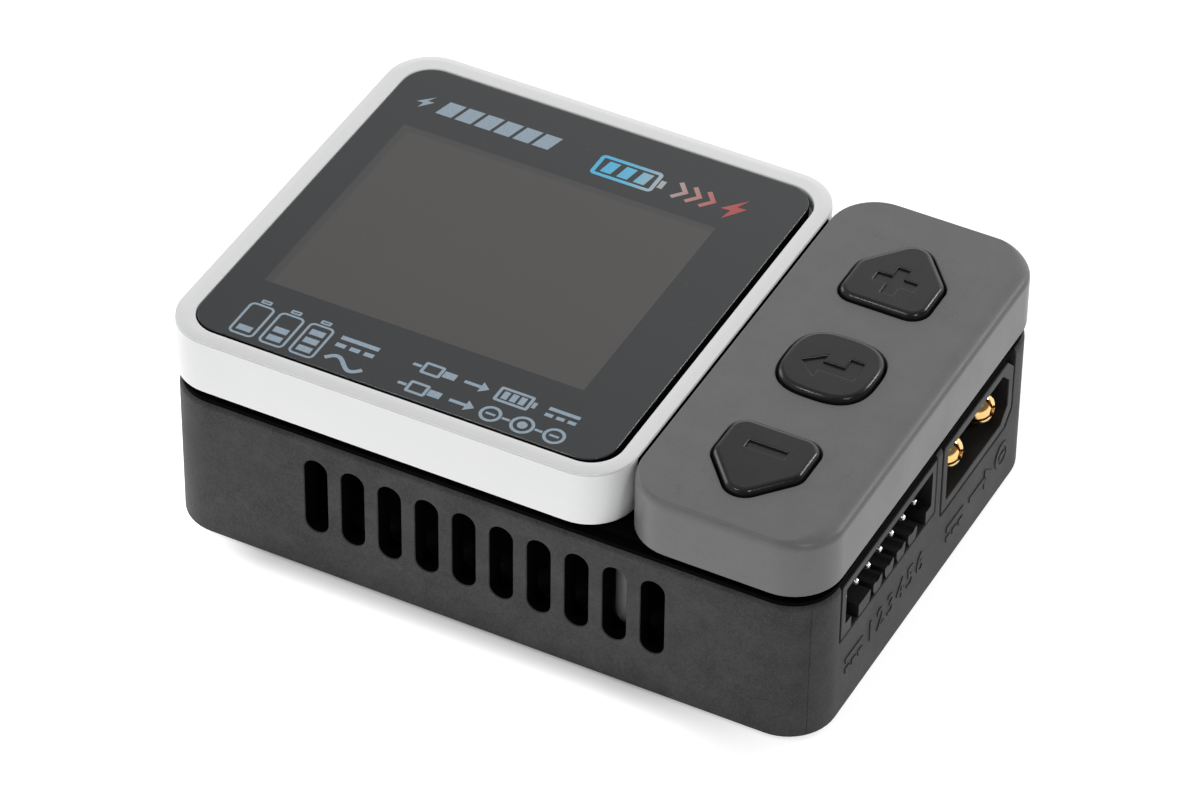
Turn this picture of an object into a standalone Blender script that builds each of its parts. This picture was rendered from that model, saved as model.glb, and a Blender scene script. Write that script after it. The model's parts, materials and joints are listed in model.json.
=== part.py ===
"""A pocket balance charger for model aircraft batteries.

Every number is in millimetres in the case's own axes: X from the left end, Y from the front,
Z up from the underside of the lower case.  world() turns them into metres about the middle of
the base, with the silicone feet standing on Z = 0.
"""
import math

import bmesh
import bpy

MM = 0.001
OVERSHOOT = 1.0  # how far a cutter runs past the face that it opens

# Case
CASE_LENGTH = 69.0
CASE_DEPTH = 49.3
CORNER_RADIUS = 5.0
CORNER_STEPS = 7
FOOT_HEIGHT = 0.5

# Lower case
TUB_INSET = 0.1
TUB_TOP = 16.4
TUB_WALL = 2.0
TUB_FLOOR = 1.6
EDGE_CHAMFER = 0.3
VENT_COUNT = 10
VENT_FIRST_X = 16.81
VENT_PITCH = 3.94
VENT_WIDTH = 2.5
VENT_BOTTOM = 4.97
VENT_TOP = 13.8

# Covers on top
COVER_BASE = 17.6
COVER_TOP = 23.9
COVER_WALL = 1.05
BEZEL_LENGTH = 48.15
BEZEL_FILLET = 0.8
KEYPAD_LEFT = 48.4
KEYPAD_PLATE = 1.6
KEYPAD_END_ROUND = 2.0
KEYPAD_EDGE_ROUND = 0.45

# Deck between the lower case and the covers
DECK_INSET = 1.2
DECK_RIM_BOTTOM = 16.55
DECK_RIM_TOP = 17.4
DECK_PLATE_INSET = 2.3
DECK_PLATE_RADIUS = 2.7
DECK_PLATE_BOTTOM = 17.35
DECK_PLATE_TOP = 18.6
DECK_WALL = 0.6
TONGUE_BOTTOM = 14.6
TONGUE_THICK = 0.5
TONGUE_LEFT = 14.0
FRONT_TONGUE_RIGHT = 44.0
REAR_TONGUE_RIGHT = 55.0
HEADER_HOLE = (52.0, 30.0, 63.0, 34.4)
POST = (48.2, 3.65)
POST_RADIUS = 1.35
POST_BOTTOM = 4.6
NOTCH = (45.3, 51.2)
NOTCH_DEPTH = 5.4

# Boards
MAIN_BOARD_BOTTOM = 15.95
MAIN_BOARD_TOP = 17.15
UI_BOARD_BOTTOM = 18.8
UI_BOARD_TOP = 19.8
NECK_FRONT = 15.0
NECK_REAR = 35.0
CONTROL_XS = (5.0, 50.4, 66.6)
CONTROL_YS = (3.0, 46.2)
CONTROL_HOLE_RADIUS = 1.8
HEATSINK_YS = (9.4, 15.6)
HEATSINK_LEFT = 18.0
HEATSINK_WEB = 1.4
FIN_COUNT = 10
FIN_PITCH = 3.4
FIN_THICK = 0.9
FIN_LOW = 10.2
COIL_SIZE = 9.6
COIL_FRONT = 18.6
COIL_LOW = 11.0
COIL_LEFTS = {"coil_left": 22.5, "coil_right": 37.5}
CAPACITOR_XS = (21.5, 29.0, 36.5)
CAPACITOR_Y = 35.6
CAPACITOR_RADIUS = 3.15
CAPACITOR_LOW = 10.0
BUZZER_MIDDLE = (46.2, 35.4)
BUZZER_RADIUS = 4.5
BUZZER_LOW = 11.2

# Display, from the lens down
OPENING = (1.7, 1.55, 46.6, 47.4)
OPENING_RADIUS = 3.4
LENS_GAP = 0.4
LENS_TOP = 23.85
LENS_BOTTOM = 22.8
LEDGE_TOP = 22.45
LEDGE_BOTTOM = 21.5
LEDGE_WIDTH = 1.3
PANEL = (3.9, 8.9, 43.5, 39.3)
PANEL_BOTTOM = 21.15
PANEL_TOP = 22.6
BACKLIGHT_BOTTOM = 20.0

# Keypad
KEY_MIDDLE_X = 58.38
KEY_MIDDLE_Y = 24.1
HOUSE_WIDTH = 9.0
HOUSES = {"plus": (1, 9.8, 15.35, 20.7), "minus": (-1, 10.35, 15.75, 20.95)}
HOUSE_RADII = (1.7, 1.7, 1.85, 1.9, 1.85)
ENTER_WIDTH = 9.2
ENTER_DEPTH = 9.1
ENTER_POWER = 2.8
KEY_TOP = 24.45
KEY_BOTTOM = 21.5
FLANGE_TOP = 22.0
FLANGE_WIDTH = 0.7
KEY_ROUND = 0.45
KEY_CLEARANCE = 0.25
ICON_DEPTH = 0.25
SWITCH_HALF = 2.6
SWITCH_BORE_RADIUS = 1.5
PLUNGER = (1.2, 20.6, 21.4)
SWITCH_MIDDLES = {"plus": 37.9, "enter": 24.2, "minus": 10.5}

# Sockets
SOCKET_TOP = 15.8
SOCKET_FACE = 0.1
XT_FRONT = 27.3
XT_REAR = 43.1
XT_BOTTOM = 7.7
XT_CHAMFER = 1.5
XT_LENGTH = 15.0
XT_CAVITY = 9.5
XT_WALL = 1.0
XT_PIN_YS = (31.7, 38.9)
XT_PIN_Z = 11.7
XT_PIN_RADIUS = 1.75
XT_SLIT_DEPTH = 6.0
BALANCE_FRONT = 5.5
BALANCE_REAR = 25.7
BALANCE_BOTTOM = 9.3
BALANCE_LENGTH = 8.3
BALANCE_PINS = 7
BALANCE_FIRST_Y = 8.31
BALANCE_PITCH = 2.5
BALANCE_PIN_Z = 12.0
BALANCE_PIN_WIDTH = 0.64
BALANCE_WALL = 0.85
BALANCE_FLOOR = 10.7
BALANCE_ROOF = 0.8
BALANCE_KEY_REACH = 7.15
USB_MIDDLE_Y = 15.5
USB_WIDTH = 8.94
USB_HEIGHT = 3.2
USB_DEPTH = 7.3
USB_HOLE_RADIUS = 1.8
OPENING_SPARE = 0.3

# Fan
FAN_MIDDLE = (34.5, 31.6)
FAN_SIZE = 30.0
FAN_BOTTOM = 1.9
FAN_TOP = 8.9
FAN_PLATE = 0.8
ROTOR_RADIUS = 11.4
ROTOR_HUB = 5.0
ROTOR_BLADES = 11
CHAMBER_RADIUS = 12.6
INLET_RADIUS = 9.5
PORT_RADIUS = 2.4
PORT_REACH = 7.0
ROTOR_SHIFT = 0.6

# Fasteners and feet
CASE_SCREWS = {"front_left": (4.6, 4.6), "rear_left": (4.6, 45.3),
               "front_right": (57.2, 4.7), "rear_right": (64.4, 45.3)}
COVER_SCREWS = {"bezel_front": (27.0, 4.6), "bezel_rear": (27.0, 44.7),
                "keypad_front": (53.2, 4.8), "keypad_rear": (53.2, 43.6)}
FEET = {"front_left": (6.8, 13.0), "rear_left": (6.8, 36.3),
        "front_right": (62.2, 13.0), "rear_right": (62.2, 36.3)}
FOOT_RADIUS = 4.0
FOOT_SPARE = 0.15
FOOT_POCKET_DEPTH = 0.4
TUB_BOSS_RADIUS = 2.3
TUB_BOSS_TOP = 4.0
HEAD_POCKET_RADIUS = 1.95
HEAD_POCKET_DEPTH = 1.9
SCREW_HOLE_RADIUS = 1.15
DECK_BOSS_RADIUS = 1.75
DECK_BOSS_BOTTOM = 4.3
CASE_PILOT_RADIUS = 1.1
CASE_PILOT_TOP = 11.0
COVER_HEAD_RADIUS = 1.6
COVER_HEAD_TOP = 18.05
COVER_HOLE_RADIUS = 0.95
COVER_PILOT_RADIUS = 0.85
COVER_PILOT_TOP = 21.3

SMOOTH_ANGLE = math.radians(35)


# ---------------------------------------------------------------- materials

def finish(name, color, roughness, metallic=0.0):
    """A Principled BSDF material."""
    made = bpy.data.materials.get(name) or bpy.data.materials.new(name)
    made.use_nodes = True
    shader = made.node_tree.nodes["Principled BSDF"]
    shader.inputs["Base Color"].default_value = (*color, 1.0)
    shader.inputs["Roughness"].default_value = roughness
    shader.inputs["Metallic"].default_value = metallic
    made.diffuse_color = (*color, 1.0)
    return made


def finishes():
    """The charger's materials by a short name."""
    return {
        "black": finish("black_plastic", (0.030, 0.030, 0.031), 0.55),
        "white": finish("white_plastic", (0.72, 0.72, 0.71), 0.42),
        "grey": finish("grey_plastic", (0.16, 0.16, 0.16), 0.48),
        "button": finish("button_plastic", (0.035, 0.035, 0.036), 0.38),
        "glass": finish("lens_plastic", (0.06, 0.06, 0.063), 0.12),
        "lcd": finish("lcd_glass", (0.09, 0.088, 0.085), 0.25),
        "film": finish("flex_film", (0.45, 0.23, 0.06), 0.4),
        "board": finish("circuit_board", (0.02, 0.12, 0.06), 0.5),
        "socket": finish("socket_nylon", (0.035, 0.035, 0.037), 0.45),
        "gold": finish("gold_plating", (0.83, 0.57, 0.24), 0.28, 1.0),
        "tin": finish("tin_plating", (0.78, 0.78, 0.76), 0.3, 1.0),
        "steel": finish("screw_steel", (0.35, 0.35, 0.36), 0.35, 1.0),
        "aluminium": finish("heatsink_aluminium", (0.62, 0.63, 0.65), 0.4, 1.0),
        "ferrite": finish("ferrite", (0.07, 0.07, 0.075), 0.7),
        "rubber": finish("silicone_rubber", (0.05, 0.05, 0.05), 0.85),
        "foam": finish("gasket_foam", (0.02, 0.02, 0.02), 0.9),
    }


# ---------------------------------------------------------------- outlines

def rounded_rect(x0, y0, x1, y1, radius, steps=CORNER_STEPS):
    """A rectangle with round corners, anticlockwise.  radius is one number or (across, along)."""
    across, along = radius if isinstance(radius, tuple) else (radius, radius)
    corners = ((x1 - across, y0 + along, 270), (x1 - across, y1 - along, 0),
               (x0 + across, y1 - along, 90), (x0 + across, y0 + along, 180))
    points = []
    for middle_x, middle_y, start in corners:
        for step in range(steps + 1):
            angle = math.radians(start + 90 * step / steps)
            points.append((middle_x + across * math.cos(angle), middle_y + along * math.sin(angle)))
    return points


def circle(x, y, radius, steps=16):
    """A round outline, anticlockwise."""
    turns = (2 * math.pi * step / steps for step in range(steps))
    return [(x + radius * math.cos(turn), y + radius * math.sin(turn)) for turn in turns]


def discs(places, radius, steps=16):
    """Equal round outlines about several places."""
    return [circle(x, y, radius, steps) for x, y in places]


def box_outline(x0, y0, x1, y1):
    """A rectangle, anticlockwise."""
    return [(x0, y0), (x1, y0), (x1, y1), (x0, y1)]


def soft_polygon(corners, radii, steps=4):
    """A convex polygon, anticlockwise, with each corner turned to its own radius."""
    points = []
    count = len(corners)
    for index, (x, y) in enumerate(corners):
        before = corners[index - 1]
        after = corners[(index + 1) % count]
        back = (before[0] - x, before[1] - y)
        ahead = (after[0] - x, after[1] - y)
        back_length, ahead_length = math.hypot(*back), math.hypot(*ahead)
        back = (back[0] / back_length, back[1] / back_length)
        ahead = (ahead[0] / ahead_length, ahead[1] / ahead_length)
        half = math.acos(back[0] * ahead[0] + back[1] * ahead[1]) / 2
        bisector = (back[0] + ahead[0], back[1] + ahead[1])
        length = math.hypot(*bisector)
        reach = radii[index] / math.sin(half) / length
        middle = (x + bisector[0] * reach, y + bisector[1] * reach)
        tangent = radii[index] / math.tan(half)
        first = (x + back[0] * tangent, y + back[1] * tangent)
        start = math.atan2(first[1] - middle[1], first[0] - middle[0])
        sweep = math.pi - 2 * half
        for step in range(steps + 1):
            angle = start + sweep * step / steps
            points.append((middle[0] + radii[index] * math.cos(angle),
                           middle[1] + radii[index] * math.sin(angle)))
    return points


def grown(outline, distance):
    """A smooth anticlockwise outline moved outwards by a distance, or inwards if it is negative."""
    count = len(outline)
    points = []
    for index, (x, y) in enumerate(outline):
        before = outline[index - 1]
        after = outline[(index + 1) % count]
        along = (after[0] - before[0], after[1] - before[1])
        length = math.hypot(*along)
        points.append((x + distance * along[1] / length, y - distance * along[0] / length))
    return points


def squircle(x, y, width, depth, power, steps=32):
    """A superellipse, anticlockwise."""
    points = []
    for step in range(steps):
        angle = 2 * math.pi * step / steps
        c, s = math.cos(angle), math.sin(angle)
        points.append((x + width / 2 * math.copysign(abs(c) ** (2 / power), c),
                       y + depth / 2 * math.copysign(abs(s) ** (2 / power), s)))
    return points


# ---------------------------------------------------------------- solids

def world(x, y, z):
    """Case millimetres to world metres."""
    return ((x - CASE_LENGTH / 2) * MM, (y - CASE_DEPTH / 2) * MM, (z + FOOT_HEIGHT) * MM)


def turned(axis, across, up, along):
    """A point of an outline that is extruded along an axis."""
    if axis == "X":
        return along, across, up
    if axis == "Y":
        return across, along, up
    return across, up, along


def add_stack(shape, rings, axis="Z"):
    """Adds a closed solid that passes through rings, each an outline and its place on the axis."""
    levels = []
    for outline, place in rings:
        levels.append([shape.verts.new(world(*turned(axis, u, v, place))) for u, v in outline])
    faces = [shape.faces.new(levels[0]), shape.faces.new(levels[-1])]
    count = len(levels[0])
    for lower, upper in zip(levels, levels[1:]):
        for index in range(count):
            after = (index + 1) % count
            faces.append(shape.faces.new((lower[index], lower[after], upper[after], upper[index])))
    bmesh.ops.recalc_face_normals(shape, faces=faces)


def make(name, shape, surface=None):
    """Turns a bmesh into a named object."""
    mesh = bpy.data.meshes.new(name)
    shape.to_mesh(mesh)
    shape.free()
    made = bpy.data.objects.new(name, mesh)
    bpy.context.scene.collection.objects.link(made)
    if surface:
        mesh.materials.append(surface)
        mesh.shade_smooth()
        mesh.set_sharp_from_angle(angle=SMOOTH_ANGLE)
    return made


def stack(name, rings, surface=None, axis="Z"):
    """One closed solid through rings."""
    shape = bmesh.new()
    add_stack(shape, rings, axis)
    return make(name, shape, surface)


def prism(name, outline, start, end, surface=None, axis="Z"):
    """An extruded outline."""
    return stack(name, [(outline, start), (outline, end)], surface, axis)


def prisms(name, outlines, start, end, axis="Z"):
    """Several separate prisms in one tool object."""
    shape = bmesh.new()
    for outline in outlines:
        add_stack(shape, [(outline, start), (outline, end)], axis)
    return make(name, shape)


def tool(made):
    """Marks an object as a cutter, which isn't part of the model."""
    made.hide_render = True
    made.display_type = "WIRE"
    return made


def combine(target, other, operation):
    """Adds a Boolean to the target."""
    tool(other)
    boolean = target.modifiers.new(other.name, "BOOLEAN")
    boolean.operation = operation
    boolean.solver = "EXACT"
    boolean.object = other


def cut(target, *others):
    for other in others:
        combine(target, other, "DIFFERENCE")


def join(target, *others):
    for other in others:
        combine(target, other, "UNION")


def set_origin(made, x, y, z):
    """Moves an object's origin to a point of the case and leaves its shape where it is."""
    place = world(x, y, z)
    for vertex in made.data.vertices:
        vertex.co = [vertex.co[axis] - place[axis] for axis in range(3)]
    made.location = place


def inset_rect(inset, radius):
    """The case's plan, drawn in by a distance."""
    return rounded_rect(inset, inset, CASE_LENGTH - inset, CASE_DEPTH - inset, radius)


# ---------------------------------------------------------------- lower case

def vent_outlines():
    """The upright round-ended slots of one long wall, in X and Z."""
    half = VENT_WIDTH / 2
    outlines = []
    for index in range(VENT_COUNT):
        x = VENT_FIRST_X + VENT_PITCH * index
        outlines.append(rounded_rect(x - half, VENT_BOTTOM, x + half, VENT_TOP, half, 4))
    return outlines


def intake_outlines():
    """Slots in the floor that fill a circle under the fan."""
    radius, pitch, half = 12.0, 3.6, 1.1
    outlines = []
    for row in range(-3, 4):
        reach = math.sqrt(radius ** 2 - (row * pitch * 0.95) ** 2)
        x, y = FAN_MIDDLE[0], FAN_MIDDLE[1] + row * pitch
        outlines.append(rounded_rect(x - reach, y - half, x + reach, y + half, half, 3))
    return outlines


def xt_outline(grow=0.0, top=SOCKET_TOP):
    """The two-pole socket's face in Y and Z: its rear end has cut corners."""
    y0, y1 = XT_FRONT - grow, XT_REAR + grow
    z0, z1 = XT_BOTTOM - grow, top + grow
    return [(y0, z0), (y1 - XT_CHAMFER, z0), (y1, z0 + XT_CHAMFER),
            (y1, z1 - XT_CHAMFER), (y1 - XT_CHAMFER, z1), (y0, z1)]


def lower_case(look):
    """The tub: vents on both long sides, socket openings at both ends, feet and screws below."""
    rim = CORNER_RADIUS - TUB_INSET
    full = inset_rect(TUB_INSET, rim)
    drawn_in = inset_rect(TUB_INSET + EDGE_CHAMFER, rim - EDGE_CHAMFER)
    tub = stack("lower_case", [(drawn_in, 0), (full, EDGE_CHAMFER),
                               (full, TUB_TOP - EDGE_CHAMFER), (drawn_in, TUB_TOP)], look["black"])
    hollow = inset_rect(TUB_WALL, CORNER_RADIUS - TUB_WALL)
    cut(tub, prism("tub_hollow", hollow, TUB_FLOOR, TUB_TOP + OVERSHOOT))
    screws = CASE_SCREWS.values()
    join(tub, prisms("tub_bosses", discs(screws, TUB_BOSS_RADIUS), TUB_FLOOR - 0.6, TUB_BOSS_TOP))
    cut(tub, prisms("front_vents", vent_outlines(), -OVERSHOOT, TUB_WALL + 0.4, "Y"))
    cut(tub, prisms("rear_vents", vent_outlines(), CASE_DEPTH - TUB_WALL - 0.3,
                    CASE_DEPTH + OVERSHOOT, "Y"))
    cut(tub, prisms("intake_slots", intake_outlines(), -OVERSHOOT, TUB_FLOOR + OVERSHOOT))
    right = (CASE_LENGTH - TUB_WALL - 0.6, CASE_LENGTH + OVERSHOOT)
    left = (-OVERSHOOT, TUB_WALL + 0.6)
    above = TUB_TOP + 3 * OVERSHOOT
    xt_opening = xt_outline(OPENING_SPARE, above)
    cut(tub, prism("output_opening", xt_opening, *right, axis="X"))
    cut(tub, prism("input_opening", xt_opening, *left, axis="X"))
    balance = box_outline(BALANCE_FRONT - OPENING_SPARE, BALANCE_BOTTOM - 0.2, BALANCE_REAR + 0.2,
                          TUB_TOP + OVERSHOOT)
    cut(tub, prism("balance_opening", balance, *right, axis="X"))
    half = USB_WIDTH / 2 + OPENING_SPARE
    usb = rounded_rect(USB_MIDDLE_Y - half, SOCKET_TOP - USB_HEIGHT - OPENING_SPARE,
                       USB_MIDDLE_Y + half, above, USB_HOLE_RADIUS, 4)
    cut(tub, prism("usb_opening", usb, *left, axis="X"))
    cut(tub, prisms("head_pockets", discs(screws, HEAD_POCKET_RADIUS), -OVERSHOOT, HEAD_POCKET_DEPTH))
    cut(tub, prisms("screw_holes", discs(screws, SCREW_HOLE_RADIUS, 12), -1.2 * OVERSHOOT,
                    TUB_BOSS_TOP + OVERSHOOT))
    cut(tub, prisms("foot_pockets", discs(FEET.values(), FOOT_RADIUS + FOOT_SPARE, 20),
                    -OVERSHOOT, FOOT_POCKET_DEPTH))


# ---------------------------------------------------------------- deck

def deck_post():
    """The round post with a domed lower end that locates the deck in the lower case."""
    rings = []
    for degrees in (80, 60, 35, 0):
        angle = math.radians(degrees)
        radius = POST_RADIUS * math.cos(angle)
        rings.append((circle(*POST, radius), POST_BOTTOM + POST_RADIUS * (1 - math.sin(angle))))
    rings.append((circle(*POST, POST_RADIUS), DECK_RIM_TOP - 0.1))
    return stack("deck_post", rings)


def notch_outlines(spare):
    """The two places, front and rear, where the covers' round corners leave the deck bare."""
    x0, x1 = NOTCH[0] - spare, NOTCH[1] + spare
    reach = NOTCH_DEPTH + spare
    edge = DECK_PLATE_INSET
    return [box_outline(x0, edge, x1, reach),
            box_outline(x0, CASE_DEPTH - reach, x1, CASE_DEPTH - edge)]


def mid_deck(look):
    """The frame that closes the lower case and carries the covers."""
    deck = prism("mid_deck", inset_rect(DECK_INSET, CORNER_RADIUS - DECK_INSET),
                 DECK_RIM_BOTTOM, DECK_RIM_TOP, look["black"])
    edge = DECK_PLATE_INSET
    join(deck, prism("deck_plate", inset_rect(edge, DECK_PLATE_RADIUS), DECK_RIM_BOTTOM + 0.2,
                     DECK_PLATE_TOP))
    pocket = inset_rect(edge + DECK_WALL, DECK_PLATE_RADIUS - DECK_WALL)
    cut(deck, prism("deck_pocket", pocket, TUB_TOP - OVERSHOOT, DECK_PLATE_BOTTOM))
    bare = [box_outline(NOTCH[0], 0, NOTCH[1], NOTCH_DEPTH),
            box_outline(NOTCH[0], CASE_DEPTH - NOTCH_DEPTH, NOTCH[1], CASE_DEPTH)]
    cut(deck, prisms("deck_notches", bare, DECK_RIM_TOP, DECK_PLATE_TOP + OVERSHOOT))
    join(deck, prisms("deck_pads", notch_outlines(0.2), DECK_RIM_BOTTOM, DECK_RIM_TOP - 0.01))
    screws = CASE_SCREWS.values()
    join(deck, prisms("deck_bosses", discs(screws, DECK_BOSS_RADIUS), DECK_BOSS_BOTTOM,
                      DECK_PLATE_BOTTOM + 0.4))
    join(deck, deck_post())
    inner = edge + TONGUE_THICK
    tongues = [box_outline(TONGUE_LEFT, edge, FRONT_TONGUE_RIGHT, inner),
               box_outline(TONGUE_LEFT, CASE_DEPTH - inner, REAR_TONGUE_RIGHT, CASE_DEPTH - edge)]
    join(deck, prisms("deck_tongues", tongues, TONGUE_BOTTOM, DECK_RIM_TOP - 0.3))
    cut(deck, prisms("deck_pilots", discs(screws, CASE_PILOT_RADIUS, 12),
                     DECK_BOSS_BOTTOM - OVERSHOOT, CASE_PILOT_TOP))
    covers = COVER_SCREWS.values()
    below, above = DECK_RIM_BOTTOM - OVERSHOOT, DECK_PLATE_TOP + OVERSHOOT
    cut(deck, prisms("cover_heads", discs(covers, COVER_HEAD_RADIUS, 12), below, COVER_HEAD_TOP))
    cut(deck, prisms("cover_holes", discs(covers, COVER_HOLE_RADIUS, 12), below, above))
    cut(deck, prism("header_opening", box_outline(*HEADER_HOLE), below, above))


# ---------------------------------------------------------------- covers

def cover_places(prefix):
    """Where the screws of one cover are."""
    return [place for key, place in COVER_SCREWS.items() if key.startswith(prefix)]


def cover_bosses(name, prefix, radius, top):
    """Screw bosses under a cover."""
    return prisms(name, discs(cover_places(prefix), radius, 12), DECK_PLATE_TOP + 0.15, top)


def cover_pilots(name, prefix):
    """The holes that one cover's screws bite into."""
    return prisms(name, discs(cover_places(prefix), COVER_PILOT_RADIUS, 10),
                  DECK_PLATE_TOP - OVERSHOOT, COVER_PILOT_TOP)


def board_passage():
    """The gap in the covers' facing walls that the control board's neck runs through."""
    outline = box_outline(BEZEL_LENGTH - 3, NECK_FRONT - 0.6, KEYPAD_LEFT + 3, NECK_REAR + 0.6)
    return outline, COVER_BASE - 1, UI_BOARD_TOP + 0.4


def wall_relief():
    """How far the covers' facing walls stop short to clear the deck's plate."""
    reach = NOTCH_DEPTH - 0.2
    outline = box_outline(NOTCH[0], reach, NOTCH[1], CASE_DEPTH - reach)
    return outline, COVER_BASE - 1, DECK_PLATE_TOP + 0.15


def rounded_rise(x0, y0, x1, y1, radius, insets, drop):
    """Rings of a top edge that turns in.  insets are left, right and front or back; drop is high."""
    left, right, along = insets
    rings = []
    for degrees in (0, 22.5, 45, 67.5, 90):
        angle = math.radians(degrees)
        part = 1 - math.cos(angle)
        z = COVER_TOP - drop * (1 - math.sin(angle))
        across = radius - max(left, right) * part
        outline = rounded_rect(x0 + left * part, y0 + along * part, x1 - right * part,
                               y1 - along * part, (across, radius - along * part))
        rings.append((outline, z))
    return rings


def display_bezel(look):
    """The white frame round the display."""
    radius = CORNER_RADIUS - 0.15
    plan = rounded_rect(0, 0, BEZEL_LENGTH, CASE_DEPTH, radius)
    fillet = (BEZEL_FILLET, BEZEL_FILLET, BEZEL_FILLET)
    rings = [(plan, COVER_BASE)] + rounded_rise(0, 0, BEZEL_LENGTH, CASE_DEPTH, radius,
                                                fillet, BEZEL_FILLET)
    bezel = stack("display_bezel", rings, look["white"])
    wall = COVER_WALL
    hollow = rounded_rect(wall, wall, BEZEL_LENGTH - wall, CASE_DEPTH - wall, radius - wall)
    cut(bezel, prism("bezel_hollow", hollow, COVER_BASE - 1, LEDGE_BOTTOM))
    x0, y0, x1, y1 = OPENING
    cut(bezel, prism("bezel_recess", rounded_rect(x0, y0, x1, y1, OPENING_RADIUS),
                     LEDGE_TOP, COVER_TOP + 1))
    ledge = LEDGE_WIDTH
    cut(bezel, prism("bezel_window", rounded_rect(x0 + ledge, y0 + ledge, x1 - ledge, y1 - ledge,
                                                  OPENING_RADIUS - ledge), 20.0, COVER_TOP + 2))
    join(bezel, cover_bosses("bezel_bosses", "bezel", 1.9, LEDGE_TOP - 0.3))
    cut(bezel, cover_pilots("bezel_pilots", "bezel"))
    for name, space in (("bezel_relief", wall_relief()), ("bezel_passage", board_passage())):
        cut(bezel, prism(name, *space))


def keypad_cover(look):
    """The grey cover with the three keys.  Its outer end turns down in a wide curve."""
    radius = CORNER_RADIUS
    plan = rounded_rect(KEYPAD_LEFT, 0, CASE_LENGTH, CASE_DEPTH, radius)
    insets = (KEYPAD_EDGE_ROUND, KEYPAD_END_ROUND, KEYPAD_EDGE_ROUND)
    rings = [(plan, COVER_BASE)] + rounded_rise(KEYPAD_LEFT, 0, CASE_LENGTH, CASE_DEPTH,
                                                radius, insets, 1.0)
    cover = stack("keypad_cover", rings, look["grey"])
    wall = COVER_WALL
    hollow = rounded_rect(KEYPAD_LEFT + wall, wall, CASE_LENGTH - wall, CASE_DEPTH - wall,
                          radius - wall)
    cut(cover, prism("keypad_hollow", hollow, COVER_BASE - 1, COVER_TOP - KEYPAD_PLATE))
    join(cover, cover_bosses("keypad_bosses", "keypad", 1.5, COVER_TOP - KEYPAD_PLATE + 0.3))
    cut(cover, cover_pilots("keypad_pilots", "keypad"))
    holes = [grown(outline, KEY_CLEARANCE) for outline in key_outlines().values()]
    cut(cover, prisms("key_holes", holes, KEY_BOTTOM, COVER_TOP + 1))
    for name, space in (("keypad_relief", wall_relief()), ("keypad_passage", board_passage())):
        cut(cover, prism(name, *space))


# ---------------------------------------------------------------- keys

def house(direction, *reaches):
    """A five-sided key that points to the back (1) or the front (-1).

    reaches are how far its foot, its shoulders and its apex are from the middle key."""
    x, half = KEY_MIDDLE_X, HOUSE_WIDTH / 2
    foot, shoulder, apex = (KEY_MIDDLE_Y + direction * reach for reach in reaches)
    corners = [(x - half, foot), (x + half, foot), (x + half, shoulder), (x, apex),
               (x - half, shoulder)]
    radii = list(HOUSE_RADII)
    if direction < 0:
        corners.reverse()
        radii.reverse()
    return soft_polygon(corners, radii)


def key_outlines():
    """The three keys' outlines, from the back to the front."""
    enter = squircle(KEY_MIDDLE_X, KEY_MIDDLE_Y, ENTER_WIDTH, ENTER_DEPTH, ENTER_POWER)
    return {"plus": house(*HOUSES["plus"]), "enter": enter, "minus": house(*HOUSES["minus"])}


def icon_outlines():
    """What is sunk into each key's face: a plus, a return arrow and a minus."""
    x = KEY_MIDDLE_X
    plus_y, middle, minus_y = SWITCH_MIDDLES.values()
    arm, half = 2.05, 0.6
    plus = [(x - arm, plus_y - half), (x - half, plus_y - half), (x - half, plus_y - arm),
            (x + half, plus_y - arm), (x + half, plus_y - half), (x + arm, plus_y - half),
            (x + arm, plus_y + half), (x + half, plus_y + half), (x + half, plus_y + arm),
            (x - half, plus_y + arm), (x - half, plus_y + half), (x - arm, plus_y + half)]
    arrow = [(x - 2.8, middle - 0.7), (x - 0.9, middle - 2.3), (x - 0.9, middle - 1.25),
             (x + 2.7, middle - 1.25), (x + 2.7, middle + 1.4), (x + 1.35, middle + 1.4),
             (x + 1.35, middle), (x - 0.9, middle), (x - 0.9, middle + 0.9)]
    minus = box_outline(x - 1.95, minus_y - 0.5, x + 1.95, minus_y + 0.5)
    return {"plus": plus, "enter": arrow, "minus": minus}


def keys(look):
    """Each key with the flange that keeps it in, its switch and the switch's plunger."""
    icons = icon_outlines()
    for name, outline in key_outlines().items():
        rings = [(grown(outline, FLANGE_WIDTH), KEY_BOTTOM), (grown(outline, FLANGE_WIDTH), FLANGE_TOP),
                 (outline, FLANGE_TOP + 0.01)]
        for degrees in (0, 30, 60, 90):
            angle = math.radians(degrees)
            drawn_in = grown(outline, -KEY_ROUND * (1 - math.cos(angle)))
            rings.append((drawn_in, KEY_TOP - KEY_ROUND * (1 - math.sin(angle))))
        key = stack(name + "_button", rings, look["button"])
        y = SWITCH_MIDDLES[name]
        set_origin(key, KEY_MIDDLE_X, y, KEY_BOTTOM)
        cut(key, prism(name + "_icon", icons[name], KEY_TOP - ICON_DEPTH, KEY_TOP + 1))
        radius, low, high = PLUNGER
        plunger = prism(name + "_plunger", circle(KEY_MIDDLE_X, y, radius, 12), low, high,
                        look["button"])
        set_origin(plunger, KEY_MIDDLE_X, y, low)
        half = SWITCH_HALF
        body = rounded_rect(KEY_MIDDLE_X - half, y - half, KEY_MIDDLE_X + half, y + half, 0.5, 2)
        switch = prism(name + "_switch", body, UI_BOARD_TOP + 0.1, 21.0, look["tin"])
        bore = circle(KEY_MIDDLE_X, y, SWITCH_BORE_RADIUS, 12)
        cut(switch, prism(name + "_bore", bore, low - 0.45, low + 1.4))


# ---------------------------------------------------------------- display

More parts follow.
